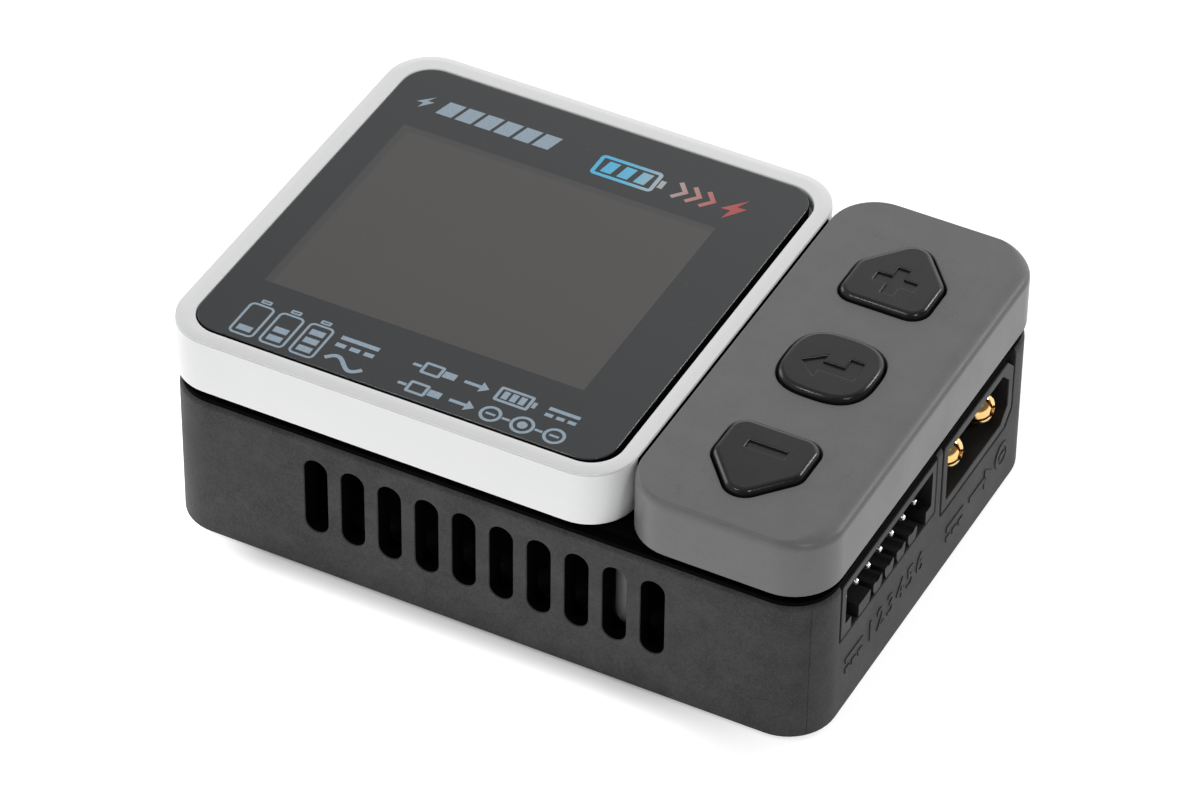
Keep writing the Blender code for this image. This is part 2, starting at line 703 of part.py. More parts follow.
def display(look):
    """The lens, its gasket, the panel with its backlight and the flat cable."""
    x0, y0, x1, y1 = OPENING
    gap = LENS_GAP
    radius = OPENING_RADIUS - gap
    lens = rounded_rect(x0 + gap, y0 + gap, x1 - gap, y1 - gap, radius)
    stack("display_lens", [(lens, LENS_BOTTOM), (lens, LENS_TOP - 0.12),
                           (grown(lens, -0.12), LENS_TOP)], look["glass"])
    band = 0.9  # the gasket's width
    gasket = prism("lens_gasket", grown(lens, -0.1), LEDGE_TOP + 0.1, LENS_BOTTOM - 0.1, look["foam"])
    cut(gasket, prism("gasket_window", grown(lens, -band), LEDGE_TOP - 1, LENS_TOP))
    prism("lcd_panel", box_outline(*PANEL), PANEL_BOTTOM, PANEL_TOP, look["lcd"])
    px0, py0, px1, py1 = PANEL
    prism("lcd_backlight", rounded_rect(px0 - 0.2, py0 - 0.2, px1 + 0.2, py1 + 0.2, 0.6, 2),
          BACKLIGHT_BOTTOM, PANEL_BOTTOM - 0.15, look["white"])
    bend = px1 + 1.4
    strip = [(px1 + 0.15, 21.75), (px1 + 0.15, 21.6), (bend - 0.2, 21.6), (bend - 0.2, 20.15),
             (bend - 0.8, 20.15), (bend - 0.8, 19.95), (bend, 19.95), (bend, 21.75)]
    prism("lcd_flex", strip, 18.0, 30.0, look["film"], axis="Y")


# ---------------------------------------------------------------- boards

def boards(look):
    """The main board hangs under the deck and the control board lies on it."""
    main = prism("main_board", inset_rect(3.0, 2.0), MAIN_BOARD_BOTTOM, MAIN_BOARD_TOP, look["board"])
    below, above = MAIN_BOARD_BOTTOM - OVERSHOOT, MAIN_BOARD_TOP + OVERSHOOT
    cut(main, prisms("boss_holes", discs(CASE_SCREWS.values(), DECK_BOSS_RADIUS + 0.35), below, above))
    cut(main, prisms("pad_holes", notch_outlines(0.6), below - 0.2, above + 0.2))
    (x0, neck, x1), (front, rear) = CONTROL_XS, CONTROL_YS
    outline = [(neck, front), (x1, front), (x1, rear), (neck, rear), (neck, NECK_REAR),
               (x0, NECK_REAR), (x0, NECK_FRONT), (neck, NECK_FRONT)]
    control = prism("ui_board", outline, UI_BOARD_BOTTOM, UI_BOARD_TOP, look["board"])
    cut(control, prisms("control_holes", discs(cover_places("keypad"), CONTROL_HOLE_RADIUS, 12),
                        UI_BOARD_BOTTOM - OVERSHOOT, UI_BOARD_TOP + OVERSHOOT))
    prism("board_header", rounded_rect(52.6, 30.6, 62.4, 33.8, 0.4, 2), MAIN_BOARD_TOP + 0.1,
          UI_BOARD_BOTTOM - 0.1, look["socket"])


def parts_under_board(look):
    """The heatsink, coils, capacitors and buzzer on the main board's lower face."""
    top = MAIN_BOARD_BOTTOM - 0.15
    comb = [(HEATSINK_LEFT, top)]
    for fin in range(FIN_COUNT):
        x = HEATSINK_LEFT + FIN_PITCH * fin
        comb += [(x, FIN_LOW), (x + FIN_THICK, FIN_LOW)]
        if fin < FIN_COUNT - 1:
            comb += [(x + FIN_THICK, top - HEATSINK_WEB), (x + FIN_PITCH, top - HEATSINK_WEB)]
    comb.append((comb[-1][0], top))
    prism("heatsink", comb, *HEATSINK_YS, look["aluminium"], axis="Y")
    for name, x in COIL_LEFTS.items():
        core = rounded_rect(x, COIL_FRONT, x + COIL_SIZE, COIL_FRONT + COIL_SIZE, 1.2, 3)
        prism(name, core, COIL_LOW, top, look["ferrite"])
    for index, x in enumerate(CAPACITOR_XS):
        can = circle(x, CAPACITOR_Y, CAPACITOR_RADIUS)
        prism("capacitor_%d" % (index + 1), can, CAPACITOR_LOW, top, look["aluminium"])
    prism("buzzer", circle(*BUZZER_MIDDLE, BUZZER_RADIUS), BUZZER_LOW, top, look["black"])


# ---------------------------------------------------------------- sockets

def end_place(side, depth):
    """X at a depth behind the left (-1) or right (1) end of the case."""
    return depth if side < 0 else CASE_LENGTH - depth


def xt_socket(name, side, look):
    """A two-pole power socket: an open shell and two slit bullet pins with soldered tails."""
    face, back = end_place(side, SOCKET_FACE), end_place(side, XT_LENGTH)
    shell = prism(name + "_shell", xt_outline(), back, face, look["socket"], axis="X")
    outside = end_place(side, -OVERSHOOT)
    cut(shell, prism(name + "_cavity", xt_cavity(), end_place(side, XT_CAVITY), outside, axis="X"))
    bores = [circle(y, XT_PIN_Z, XT_PIN_RADIUS + 0.15) for y in XT_PIN_YS]
    cut(shell, prisms(name + "_bores", bores, end_place(side, XT_LENGTH + OVERSHOOT),
                      end_place(side, XT_CAVITY - OVERSHOOT), axis="X"))
    for index, y in enumerate(XT_PIN_YS):
        pin_name = "%s_pin_%d" % (name, index + 1)
        tip, end = end_place(side, SOCKET_FACE + 0.5), end_place(side, XT_LENGTH + 1.8)
        rings = [(circle(y, XT_PIN_Z, XT_PIN_RADIUS), end),
                 (circle(y, XT_PIN_Z, XT_PIN_RADIUS), end_place(side, SOCKET_FACE + 0.9)),
                 (circle(y, XT_PIN_Z, XT_PIN_RADIUS - 0.4), tip)]
        pin = stack(pin_name, rings, look["gold"], axis="X")
        tail = prism(pin_name + "_tail", circle(end_place(side, XT_LENGTH + 1.0), y, 0.7, 10),
                     XT_PIN_Z, MAIN_BOARD_BOTTOM - 0.1)
        join(pin, tail)
        slit = box_outline(y - 0.2, XT_PIN_Z - 3, y + 0.2, XT_PIN_Z + 3)
        cut(pin, prism(pin_name + "_slit", slit, end_place(side, XT_SLIT_DEPTH), outside, axis="X"))


def xt_cavity():
    """The inside of the two-pole socket in Y and Z."""
    y0, y1 = XT_FRONT + XT_WALL, XT_REAR - XT_WALL
    z0, z1 = XT_BOTTOM + XT_WALL, SOCKET_TOP - XT_WALL
    cut_corner = XT_CHAMFER - 0.4
    return [(y0, z0), (y1 - cut_corner, z0), (y1, z0 + cut_corner),
            (y1, z1 - cut_corner), (y1 - cut_corner, z1), (y0, z1)]


def balance_socket(look):
    """The seven-way balance socket on the right end."""
    face, back = CASE_LENGTH - SOCKET_FACE, CASE_LENGTH - BALANCE_LENGTH
    outer = box_outline(BALANCE_FRONT, BALANCE_BOTTOM, BALANCE_REAR, SOCKET_TOP)
    shell = prism("balance_shell", outer, back, face, look["socket"], axis="X")
    inner = box_outline(BALANCE_FRONT + BALANCE_WALL, BALANCE_FLOOR, BALANCE_REAR - BALANCE_WALL,
                        SOCKET_TOP - BALANCE_ROOF)
    outside = CASE_LENGTH + OVERSHOOT
    cut(shell, prism("balance_cavity", inner, back + 1.6, outside, axis="X"))
    middle = (BALANCE_FRONT + BALANCE_REAR) / 2
    keys_at = (middle - BALANCE_KEY_REACH, middle + BALANCE_KEY_REACH)
    low, high = BALANCE_BOTTOM - OVERSHOOT, BALANCE_FLOOR + 0.3
    slots = [box_outline(y - 0.8, low, y + 0.8, high) for y in keys_at]
    for gap in range(1, BALANCE_PINS - 1):
        y = BALANCE_FIRST_Y + BALANCE_PITCH * (gap + 0.5)
        if min(abs(y - key_y) for key_y in keys_at) > 2:
            slots.append(box_outline(y - 0.2, low, y + 0.2, high))
    cut(shell, prisms("balance_slots", slots, CASE_LENGTH - 3.0, outside, axis="X"))
    half = BALANCE_PIN_WIDTH / 2
    holes = []
    for index in range(BALANCE_PINS):
        y = BALANCE_FIRST_Y + BALANCE_PITCH * index
        reach = half + 0.1
        holes.append(box_outline(y - reach, BALANCE_PIN_Z - reach, y + reach, BALANCE_PIN_Z + reach))
        x0, x1, tip = back - 1.0, back - 0.3, CASE_LENGTH - 1.0
        bent = [(x0, BALANCE_PIN_Z - half), (tip, BALANCE_PIN_Z - half), (tip, BALANCE_PIN_Z + half),
                (x1, BALANCE_PIN_Z + half), (x1, MAIN_BOARD_BOTTOM - 0.1),
                (x0, MAIN_BOARD_BOTTOM - 0.1)]
        prism("balance_pin_%d" % (index + 1), bent, y - half, y + half, look["tin"], axis="Y")
    cut(shell, prisms("balance_holes", holes, back - 1, back + 3, axis="X"))


def usb_socket(look):
    """The small data and power socket on the left end."""
    half, height = USB_WIDTH / 2, USB_HEIGHT
    low, y = SOCKET_TOP - height, USB_MIDDLE_Y
    outer = rounded_rect(y - half, low, y + half, SOCKET_TOP, height / 2 - 0.05, 5)
    shell = prism("usb_c_shell", outer, SOCKET_FACE + 0.3, USB_DEPTH, look["tin"], axis="X")
    wall = 0.35
    inner = rounded_rect(y - half + wall, low + wall, y + half - wall, SOCKET_TOP - wall,
                         height / 2 - 0.05 - wall, 5)
    cut(shell, prism("usb_cavity", inner, -1.0, USB_DEPTH - 0.6, axis="X"))
    middle = low + height / 2
    prism("usb_c_tongue", box_outline(y - 3.3, middle - 0.35, y + 3.3, middle + 0.35),
          1.4, USB_DEPTH - 0.75, look["socket"], axis="X")


# ---------------------------------------------------------------- fan

def fan(look):
    """A flat blower on the floor that blows out of the rear vents."""
    x, y = FAN_MIDDLE
    half = FAN_SIZE / 2
    housing = prism("fan_housing", rounded_rect(x - half, y - half, x + half, y + half, 2.0, 3),
                    FAN_BOTTOM, FAN_TOP, look["black"])
    low, high = FAN_BOTTOM + FAN_PLATE, FAN_TOP - FAN_PLATE
    hub_y = y - ROTOR_SHIFT
    cut(housing, prism("fan_chamber", circle(x, hub_y, CHAMBER_RADIUS, 32), low, high))
    cut(housing, prism("fan_outlet", box_outline(x - 11.5, y, x + 11.5, y + half + OVERSHOOT),
                       low + 0.01, high - 0.01))
    cut(housing, prism("fan_inlet", circle(x, hub_y, INLET_RADIUS, 24), high - OVERSHOOT,
                       FAN_TOP + OVERSHOOT))
    places = [(x + PORT_REACH * c, hub_y + PORT_REACH * s) for c, s in ((1, 0), (0, 1), (-1, 0), (0, -1))]
    cut(housing, prisms("fan_ports", discs(places, PORT_RADIUS, 10), FAN_BOTTOM - OVERSHOOT,
                        low + OVERSHOOT))
    outline = []
    for blade in range(ROTOR_BLADES):
        for degrees, radius in ((0, ROTOR_HUB), (7, ROTOR_RADIUS), (11, ROTOR_RADIUS),
                                (8, ROTOR_HUB), (20, ROTOR_HUB)):
            angle = math.radians(360 * blade / ROTOR_BLADES + degrees)
            outline.append((x + radius * math.cos(angle), hub_y + radius * math.sin(angle)))
    rotor = prism("fan_rotor", outline, low + 0.4, high - 0.3, look["socket"])
    set_origin(rotor, x, hub_y, low + 0.4)


# ---------------------------------------------------------------- fasteners

def screw(name, place, head, shank, look):
    """A pan-head screw driven from below.  head and shank are (radius, low, high)."""
    head_radius, low, middle = head
    shank_radius, high = shank
    rings = [(circle(*place, head_radius - 0.2, 12), low), (circle(*place, head_radius, 12), low + 0.2),
             (circle(*place, head_radius, 12), middle), (circle(*place, shank_radius, 12), middle + 0.01),
             (circle(*place, shank_radius, 12), high - 0.4), (circle(*place, shank_radius / 2, 12), high)]
    made = stack(name, rings, look["steel"])
    socket = circle(*place, head_radius * 0.5, 6)
    cut(made, prism(name + "_socket", socket, low - 1, low + (middle - low) * 0.6))


def fasteners(look):
    """Four long case screws from below and four short ones that hold the covers to the deck."""
    for name, place in CASE_SCREWS.items():
        screw("case_screw_" + name, place, (1.7, 0.45, 1.75), (0.95, 10.0), look)
    for name, place in COVER_SCREWS.items():
        screw("cover_screw_" + name, place, (1.4, 17.4, 17.95), (0.7, 20.8), look)
    for name, place in FEET.items():
        rings = [(circle(*place, FOOT_RADIUS - 0.3, 20), -FOOT_HEIGHT),
                 (circle(*place, FOOT_RADIUS, 20), -FOOT_HEIGHT + 0.25),
                 (circle(*place, FOOT_RADIUS, 20), 0.3)]
        stack("foot_" + name, rings, look["rubber"])


def main():
    for old in list(bpy.data.objects):
        bpy.data.objects.remove(old, do_unlink=True)
    look = finishes()
    lower_case(look)
    mid_deck(look)
    display_bezel(look)
    keypad_cover(look)
    keys(look)
    display(look)
    boards(look)
    parts_under_board(look)
    xt_socket("output_socket", 1, look)
    xt_socket("input_socket", -1, look)
    balance_socket(look)
    usb_socket(look)
    fan(look)
    fasteners(look)


main()
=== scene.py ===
"""The looks of a pocket balance charger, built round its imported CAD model.

Lengths are in millimetres in the case's own axes: X from the left end, Y from the front, Z up
from the underside of the case.  place() turns them into metres in the frame's axes.
"""
import json
import math
from collections import namedtuple

import bmesh
import bpy
from mathutils import Matrix, Quaternion, Vector


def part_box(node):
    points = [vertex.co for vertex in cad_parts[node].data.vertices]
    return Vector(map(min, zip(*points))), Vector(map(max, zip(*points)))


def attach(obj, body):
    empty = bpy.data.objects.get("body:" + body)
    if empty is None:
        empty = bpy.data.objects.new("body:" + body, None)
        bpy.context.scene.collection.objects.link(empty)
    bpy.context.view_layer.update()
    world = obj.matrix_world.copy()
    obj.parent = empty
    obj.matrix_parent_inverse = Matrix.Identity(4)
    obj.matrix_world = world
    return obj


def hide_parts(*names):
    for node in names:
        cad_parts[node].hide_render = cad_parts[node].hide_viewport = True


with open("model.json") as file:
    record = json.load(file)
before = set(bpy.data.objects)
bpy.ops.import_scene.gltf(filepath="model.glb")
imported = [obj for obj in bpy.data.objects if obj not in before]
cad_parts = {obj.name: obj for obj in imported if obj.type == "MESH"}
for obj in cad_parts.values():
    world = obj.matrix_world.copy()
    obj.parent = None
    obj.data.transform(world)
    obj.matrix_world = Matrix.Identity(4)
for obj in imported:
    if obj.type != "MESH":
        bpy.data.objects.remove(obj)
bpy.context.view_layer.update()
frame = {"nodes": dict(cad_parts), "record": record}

MM = 0.001
ARC = 12
LIP_STEPS = 4
SLIVER = 0.004
SMOOTH_ANGLE = math.radians(34)

# The case's axes start at the display cover's left front corner and the lower case's underside.
ORIGIN = Vector((*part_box("display_bezel")[0].xy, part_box("lower_case")[0].z))


def place(x, y, z):
    """Case millimetres to metres in the frame."""
    return ORIGIN + Vector((x, y, z)) * MM


# Outlines are lists of (across, up), anticlockwise.

def rounded_rect(x0, y0, x1, y1, radii, steps=ARC):
    """A rectangle with round corners.  radii is one number, or each end's (across, along)."""
    left, right = radii if isinstance(radii, tuple) else ((radii, radii), (radii, radii))
    corners = ((x1 - right[0], y0 + right[1], right, 270), (x1 - right[0], y1 - right[1], right, 0),
               (x0 + left[0], y1 - left[1], left, 90), (x0 + left[0], y0 + left[1], left, 180))
    points = []
    for corner_x, corner_y, (across, along), start in corners:
        for step in range(steps + 1):
            angle = math.radians(start + 90 * step / steps)
            points.append((corner_x + across * math.cos(angle), corner_y + along * math.sin(angle)))
    return points


def rectangle(x0, y0, x1, y1):
    return [(x0, y0), (x1, y0), (x1, y1), (x0, y1)]


def circle(x, y, radius, steps=48):
    turns = (2 * math.pi * step / steps for step in range(steps))
    return [(x + radius * math.cos(turn), y + radius * math.sin(turn)) for turn in turns]


def disc_at(x, y, radius, steps=48):
    """A circle as a function of how far it is grown."""
    return lambda grow: circle(x, y, radius + grow, steps)


def squircle(x, y, width, depth, power, steps=96):
    """A superellipse."""
    points = []
    for step in range(steps):
        angle = 2 * math.pi * step / steps
        c, s = math.cos(angle), math.sin(angle)
        points.append((x + width / 2 * math.copysign(abs(c) ** (2 / power), c),
                       y + depth / 2 * math.copysign(abs(s) ** (2 / power), s)))
    return points


def soft_polygon(corners, radii, steps=6):
    """A convex polygon with each corner turned to its own radius."""
    points = []
    for index, corner in enumerate(corners):
        corner = Vector(corner)
        back = (Vector(corners[index - 1]) - corner).normalized()
        ahead = (Vector(corners[(index + 1) % len(corners)]) - corner).normalized()
        half = back.angle(ahead) / 2
        radius = radii[index]
        centre = corner + (back + ahead).normalized() * radius / math.sin(half)
        first = corner + back * radius / math.tan(half) - centre
        start = math.atan2(first.y, first.x)
        for step in range(steps + 1):
            angle = start + (math.pi - 2 * half) * step / steps
            points.append((centre.x + radius * math.cos(angle), centre.y + radius * math.sin(angle)))
    return points


def grown(outline, distance):
    """A smooth outline moved outwards by a distance, or inwards if it is negative."""
    points = []
    for index, (x, y) in enumerate(outline):
        before, after = outline[index - 1], outline[(index + 1) % len(outline)]
        along = Vector((after[0] - before[0], after[1] - before[1])).normalized()
        points.append((x + distance * along.y, y - distance * along.x))
    return points


def mitre(into, out, least):
    """The way across a corner, and how much longer than the line's side the step across it is."""
    across = Vector((into.y + out.y, -into.x - out.x)).normalized()
    return across / max(least, across.dot(Vector((into.y, -into.x))))


def offset_corners(outline, distance):
    """An outline with sharp corners moved outwards by a distance."""
    points = []
    for index, point in enumerate(outline):
        point = Vector(point)
        into = (point - Vector(outline[index - 1])).normalized()
        out = (Vector(outline[(index + 1) % len(outline)]) - point).normalized()
        points.append(tuple(point + mitre(into, out, 0.3) * distance))
    return points


def ribbon(path, width):
    """The outline of a line of even width along a path."""
    right, left = [], []
    for index, point in enumerate(path):
        point = Vector(point)
        ways = [(b - a).normalized() for a, b in zip(map(Vector, path[max(0, index - 1):]),
                                                     map(Vector, path[max(1, index):index + 2]))]
        side = mitre(ways[0], ways[-1], 0.35) * width / 2
        right.append(tuple(point + side))
        left.append(tuple(point - side))
    return right + left[::-1]


def spun(outline, x, y, degrees):
    """An outline turned about a point."""
    turn = Matrix.Rotation(math.radians(degrees), 2)
    centre = Vector((x, y))
    return [tuple(centre + turn @ (Vector(point) - centre)) for point in outline]


class Span(namedtuple("Span", "x0 y0 z0 x1 y1 z1")):
    """A box in the case's millimetres, its middle, and its outlines."""
    x = property(lambda self: (self.x0 + self.x1) / 2)
    y = property(lambda self: (self.y0 + self.y1) / 2)
    radius = property(lambda self: (self.x1 - self.x0) / 2)

    def plan(self, inset, radius, steps=ARC):
        """The outline from above, moved inwards."""
        return rounded_rect(self.x0 + inset, self.y0 + inset, self.x1 - inset, self.y1 - inset,
                            radius, steps)

    def end(self, inset, radius, steps=4):
        """The outline from the right end, in Y and Z, moved inwards."""
        return rounded_rect(self.y0 + inset, self.z0 + inset, self.y1 - inset, self.z1 - inset,
                            radius, steps)


def span(node):
    """A CAD node's box."""
    low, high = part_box(node)
    return Span(*((low - ORIGIN) / MM), *((high - ORIGIN) / MM))


TUB = span("lower_case")
DECK = span("mid_deck")
BEZEL = span("display_bezel")
COVER = span("keypad_cover")
LENS = span("display_lens")
LENGTH, DEPTH = COVER.x1, COVER.y1
CASE = Span(0, 0, TUB.z0, LENGTH, DEPTH, COVER.z1)
CORNERS = ("front_left", "rear_left", "front_right", "rear_right")

# Lower case
TUB_RADIUS = 4.9
TUB_WALL = 1.9
TUB_FLOOR = 1.6
VENT_COUNT = 10
VENT_FIRST_X = 16.81
VENT_PITCH = 3.94
VENT_WIDTH = 2.5
VENT_BOTTOM = 4.97
VENT_TOP = 13.8
PARTING_ANGLE = 47
MARK_LOW, MARK_HIGH = TUB.x1 - 0.15, TUB.x1 + 0.1

# Covers
COVER_WALL = 1.05
BEZEL_RADIUS = 4.85
BEZEL_PROFILE = ((0.0, 0.46), (0.10, 0.43), (0.10, 0.33), (0.02, 0.29), (0.03, 0.22), (0.10, 0.17),
                 (0.35, 0.12), (0.70, 0.05), (1.05, 0.0))
COVER_RADIUS = 5.0
COVER_END_ROUND = 2.0
COVER_EDGE_ROUND = 0.45
COVER_DROP = 1.0
KEYPAD_PLATE = 1.6
LENS_GAPS = {"left": 0.07, "right": 0.46, "front": 0.40, "rear": 0.07}
LENS_TRIM = {"right": 0.13, "front": -0.08}
LENS_RADIUS = 3.0
OPENING_SPREAD = 0.3
LEDGE_TOP = 22.45
LEDGE_BOTTOM = 21.5
LEDGE_WIDTH = 1.3

# Keys.  HOUSES says which way each five-sided key points, and how far its foot, its shoulders
# and its apex are from the middle key.
KEY_X, KEY_Y = span("enter_button").x, span("enter_button").y
HOUSE_WIDTH = 9.0
HOUSES = {"plus": (1, 9.8, 15.35, 20.7), "minus": (-1, 10.35, 15.75, 20.95)}
HOUSE_RADII = (1.7, 1.7, 1.85, 1.9, 1.85)
ENTER_WIDTH = 9.2
ENTER_DEPTH = 9.1
ENTER_POWER = 2.8
KEY_FLANGE = 0.7
KEY_FLANGE_HEIGHT = 0.5
KEY_ROUND = 0.6
KEY_CLEARANCE = 0.25
ICON_DEPTH = 0.25
ICON_LIP = 0.18

# Sockets
XT_CHAMFER = 1.5
XT_WALL = 1.0
XT_CAVITY = 9.5
BALANCE_PITCH = 2.5
BALANCE_FLOOR = 10.75

# The screen's window in the lens and the marks printed round it
WINDOW = (5.62, 10.57, 39.58, 37.66)
TOP_RIGHT_PRINT = (24.5, 41.3)
PRINT_COLOR = (0.31, 0.40, 0.48)
PRINT_LOW = LENS.z1 - 0.03
PRINT_HIGH = LENS.z1 + 0.012


# Solids are built from rings, each an outline and its place on an axis.

def turned(axis, across, up, along):
    """A point of an outline that is extruded along an axis."""
    return {"X": (along, across, up), "Y": (across, along, up), "Z": (across, up, along)}[axis]


def add_loft(shape, rings, axis="Z", band=False):
    """Adds a closed solid through rings: capped, or a band whose last ring meets the first."""
    levels = [[shape.verts.new(place(*turned(axis, u, v, at))) for u, v in outline]
              for outline, at in rings]
    pairs = list(zip(levels, levels[1:]))
    if band:
        pairs.append((levels[-1], levels[0]))
    faces = [] if band else [shape.faces.new(levels[0]), shape.faces.new(levels[-1])]
    count = len(levels[0])
    for lower, upper in pairs:
        for index in range(count):
            after = (index + 1) % count
            faces.append(shape.faces.new((lower[index], lower[after], upper[after], upper[index])))
    bmesh.ops.recalc_face_normals(shape, faces=faces)


def fill(shape, outlines, bands, low, high, axis="Z"):
    """Adds extruded outlines, and bands between outer and inner outlines with as many points."""
    for outline in outlines:
        add_loft(shape, slab(outline, low, high), axis)
    for outer, inner in bands:
        add_loft(shape, [(outer, low), (outer, high), (inner, high), (inner, low)], axis, True)
    return shape


def make(name, shape):
    """Turns a bmesh into a named object."""
    mesh = bpy.data.meshes.new(name)
    shape.to_mesh(mesh)
    shape.free()
    made = bpy.data.objects.new(name, mesh)
    bpy.context.scene.collection.objects.link(made)
    return made


def loft(name, *stacks, axis="Z"):
    """An object of one or more closed solids, each through its stack of rings."""
    shape = bmesh.new()
    for rings in stacks:
        add_loft(shape, rings, axis)
    return make(name, shape)


def slab(outline, low, high):
    """The rings of a plain extrusion."""
    return [(outline, low), (outline, high)]


def quarter(radius, steps=LIP_STEPS, drop=None):
    """(inset, drop) of a rounded edge, from the side up to the face."""
    for step in range(steps + 1):
        angle = math.pi / 2 * step / steps
        yield radius * (1 - math.cos(angle)), (drop or radius) * (1 - math.sin(angle))


def rounding(outline_at, face, radius, facing=1, steps=LIP_STEPS):
    """The rings of a rounded edge, from the side to a face that faces up (1) or down (-1)."""
    return [(outline_at(-inset), face - facing * drop) for inset, drop in quarter(radius, steps)]


def soft_slab(outline, low, high, round_low, round_high, steps=LIP_STEPS):
    """The rings of an extrusion with rounded edges at both ends."""
    def at(grow):
        return grown(outline, grow)
    return rounding(at, low, round_low, -1, steps)[::-1] + rounding(at, high, round_high, 1, steps)


def lipped(outline_at, face, inner, lip):
    """The rings of a cutter whose mouth, at face, has a rounded lip.  It ends at inner."""
    outwards = 1 if face > inner else -1
    rings = [(outline_at(0), inner)]
    for inset, drop in quarter(lip):
        rings.append((outline_at(inset), face - outwards * (drop - SLIVER)))
    rings.append((outline_at(lip), face + outwards))
    return rings


def cut(piece, *tools, operation="DIFFERENCE"):
    """Applies EXACT Booleans to a piece and throws the tools away."""
    for tool in tools:
        boolean = piece.modifiers.new(tool.name, "BOOLEAN")
        boolean.operation = operation
        boolean.solver = "EXACT"
        boolean.object = tool
    bpy.context.view_layer.update()
    old = piece.data
    piece.data = bpy.data.meshes.new_from_object(
        piece.evaluated_get(bpy.context.evaluated_depsgraph_get()))
    piece.modifiers.clear()
    bpy.data.meshes.remove(old)
    for tool in tools:
        bpy.data.objects.remove(tool)


def join(piece, *tools):
    cut(piece, *tools, operation="UNION")


class Nodes:
    """Short ways to build a node tree.  A value is a constant or what another node makes."""

    def __init__(self, tree):
        self.tree = tree

    def feed(self, socket, value):
        if isinstance(value, bpy.types.NodeSocket):
            self.tree.links.new(value, socket)
        else:
            socket.default_value = value

    def add(self, kind, inputs, **settings):
        """A new node's outputs."""
        node = self.tree.nodes.new("ShaderNode" + kind)
        for name, value in settings.items():
            setattr(node, name, value)
        for key, value in inputs.items():
            self.feed(node.inputs[key], value)
        return node.outputs

    def math(self, operation, *values):
        """The values added, multiplied or so on, from left to right."""
        total = values[0]
        for value in values[1:]:
            total = self.add("Math", {0: total, 1: value}, operation=operation)["Value"]
        return total

    def spread(self, value, low, high, to_low=0, to_high=1, kind="LINEAR"):
        """value, from low and high to to_low and to_high."""
        return self.add("MapRange", {"Value": value, "From Min": low, "From Max": high,
                                     "To Min": to_low, "To Max": to_high}, interpolation_type=kind)["Result"]

    def step(self, value, low, high, to_low=0, to_high=1):
        return self.spread(value, low, high, to_low, to_high, "SMOOTHSTEP")

    def plateau(self, value, rise, full, fall, end):
        """Smoothly from 0 at rise to 1 at full, and from 1 at fall to 0 at end."""
        return self.math("MULTIPLY", self.step(value, rise, full), self.step(value, fall, end, 1, 0))


class Look(Nodes):
    """A material.  Its textures are in the object's metres."""

    def __init__(self, name, color, roughness, metallic=0.0, specular=0.5):
        self.material = bpy.data.materials.new(name)
        self.material.use_nodes = True
        super().__init__(self.material.node_tree)
        self.set("Base Color", (*color, 1))
        self.set("Roughness", roughness)
        self.set("Metallic", metallic)
        self.set("Specular IOR Level", specular)
        self.spot = self.add("TexCoord", {})["Object"]

    def set(self, socket, value):
        self.feed(self.tree.nodes["Principled BSDF"].inputs[socket], value)

    def axes(self):
        """The object's X, Y and Z."""
        return self.add("SeparateXYZ", {0: self.spot})

    def noise(self, size, detail=2.0, rough=0.55, at=None):
        """Noise with features of about this many millimetres."""
        return self.add("TexNoise", {"Vector": at or self.spot, "Scale": 1 / (size * MM),
                                     "Detail": detail, "Roughness": rough})["Fac"]

    def texture(self, kind, scale, output, inputs=None, **settings):
        """Another texture's output."""
        return self.add(kind, {"Vector": self.spot, "Scale": scale, **(inputs or {})}, **settings)[output]

    def blend(self, amount, one, other):
        """From color one to color other."""
        one, other = (value if isinstance(value, bpy.types.NodeSocket) else (*value, 1)
                      for value in (one, other))
        return self.add("Mix", {0: amount, 6: one, 7: other}, data_type="RGBA")[2]

    def tone(self, value, low, high, one, other):
        """Runs the base color from one to other as value runs from low to high."""
        self.set("Base Color", self.blend(self.spread(value, low, high), one, other))

    def bump(self, height, distance, strength):
        """Relief of this many millimetres."""
        self.set("Normal", self.add("Bump", {"Height": height, "Distance": distance * MM,
                                             "Strength": strength})["Normal"])


def tinted(color, amount):
    return tuple(channel * amount for channel in color)


def moulded(name, color, roughness, grain=0.12, relief=0.010, mottle=0.06, specular=0.5):
    """Spark-eroded moulding: fine grain, and soft mottling of its tone and gloss."""
    look = Look(name, color, roughness, specular=specular)
    fine, cloud, streak = look.noise(grain, 3.0, 0.7), look.noise(2.6, 4.0, 0.62), look.noise(7.0, 2.0, 0.5)
    look.tone(look.math("ADD", look.math("MULTIPLY", cloud, 0.4), look.math("MULTIPLY", fine, 0.6)),
              0.38, 0.62, tinted(color, 1 - mottle), tinted(color, 1 + mottle))
    look.set("Roughness", look.spread(look.math("ADD", cloud, fine, streak), 1.1, 1.9,
                                      roughness - 0.07, roughness + 0.07))
    look.bump(fine, relief, 0.8)
    return look


def plated(name, color, roughness, wear=0.12, along=(1, 1, 1)):
    """Plated or bare metal with fine machining lines along an axis and uneven gloss."""
    look = Look(name, color, roughness, metallic=1.0)
    stretched = look.add("Mapping", {"Vector": look.spot, "Scale": along})["Vector"]
    lines, patches = look.noise(0.09, 2.0, 0.6, stretched), look.noise(0.9, 3.0, 0.6)
    look.tone(patches, 0.3, 0.7, tinted(color, 1 - wear), color)
    look.set("Roughness", look.spread(look.math("ADD", lines, patches), 0.6, 1.4,
                                      roughness * 0.75, roughness * 1.3))
    look.bump(lines, 0.004, 0.6)
    return look


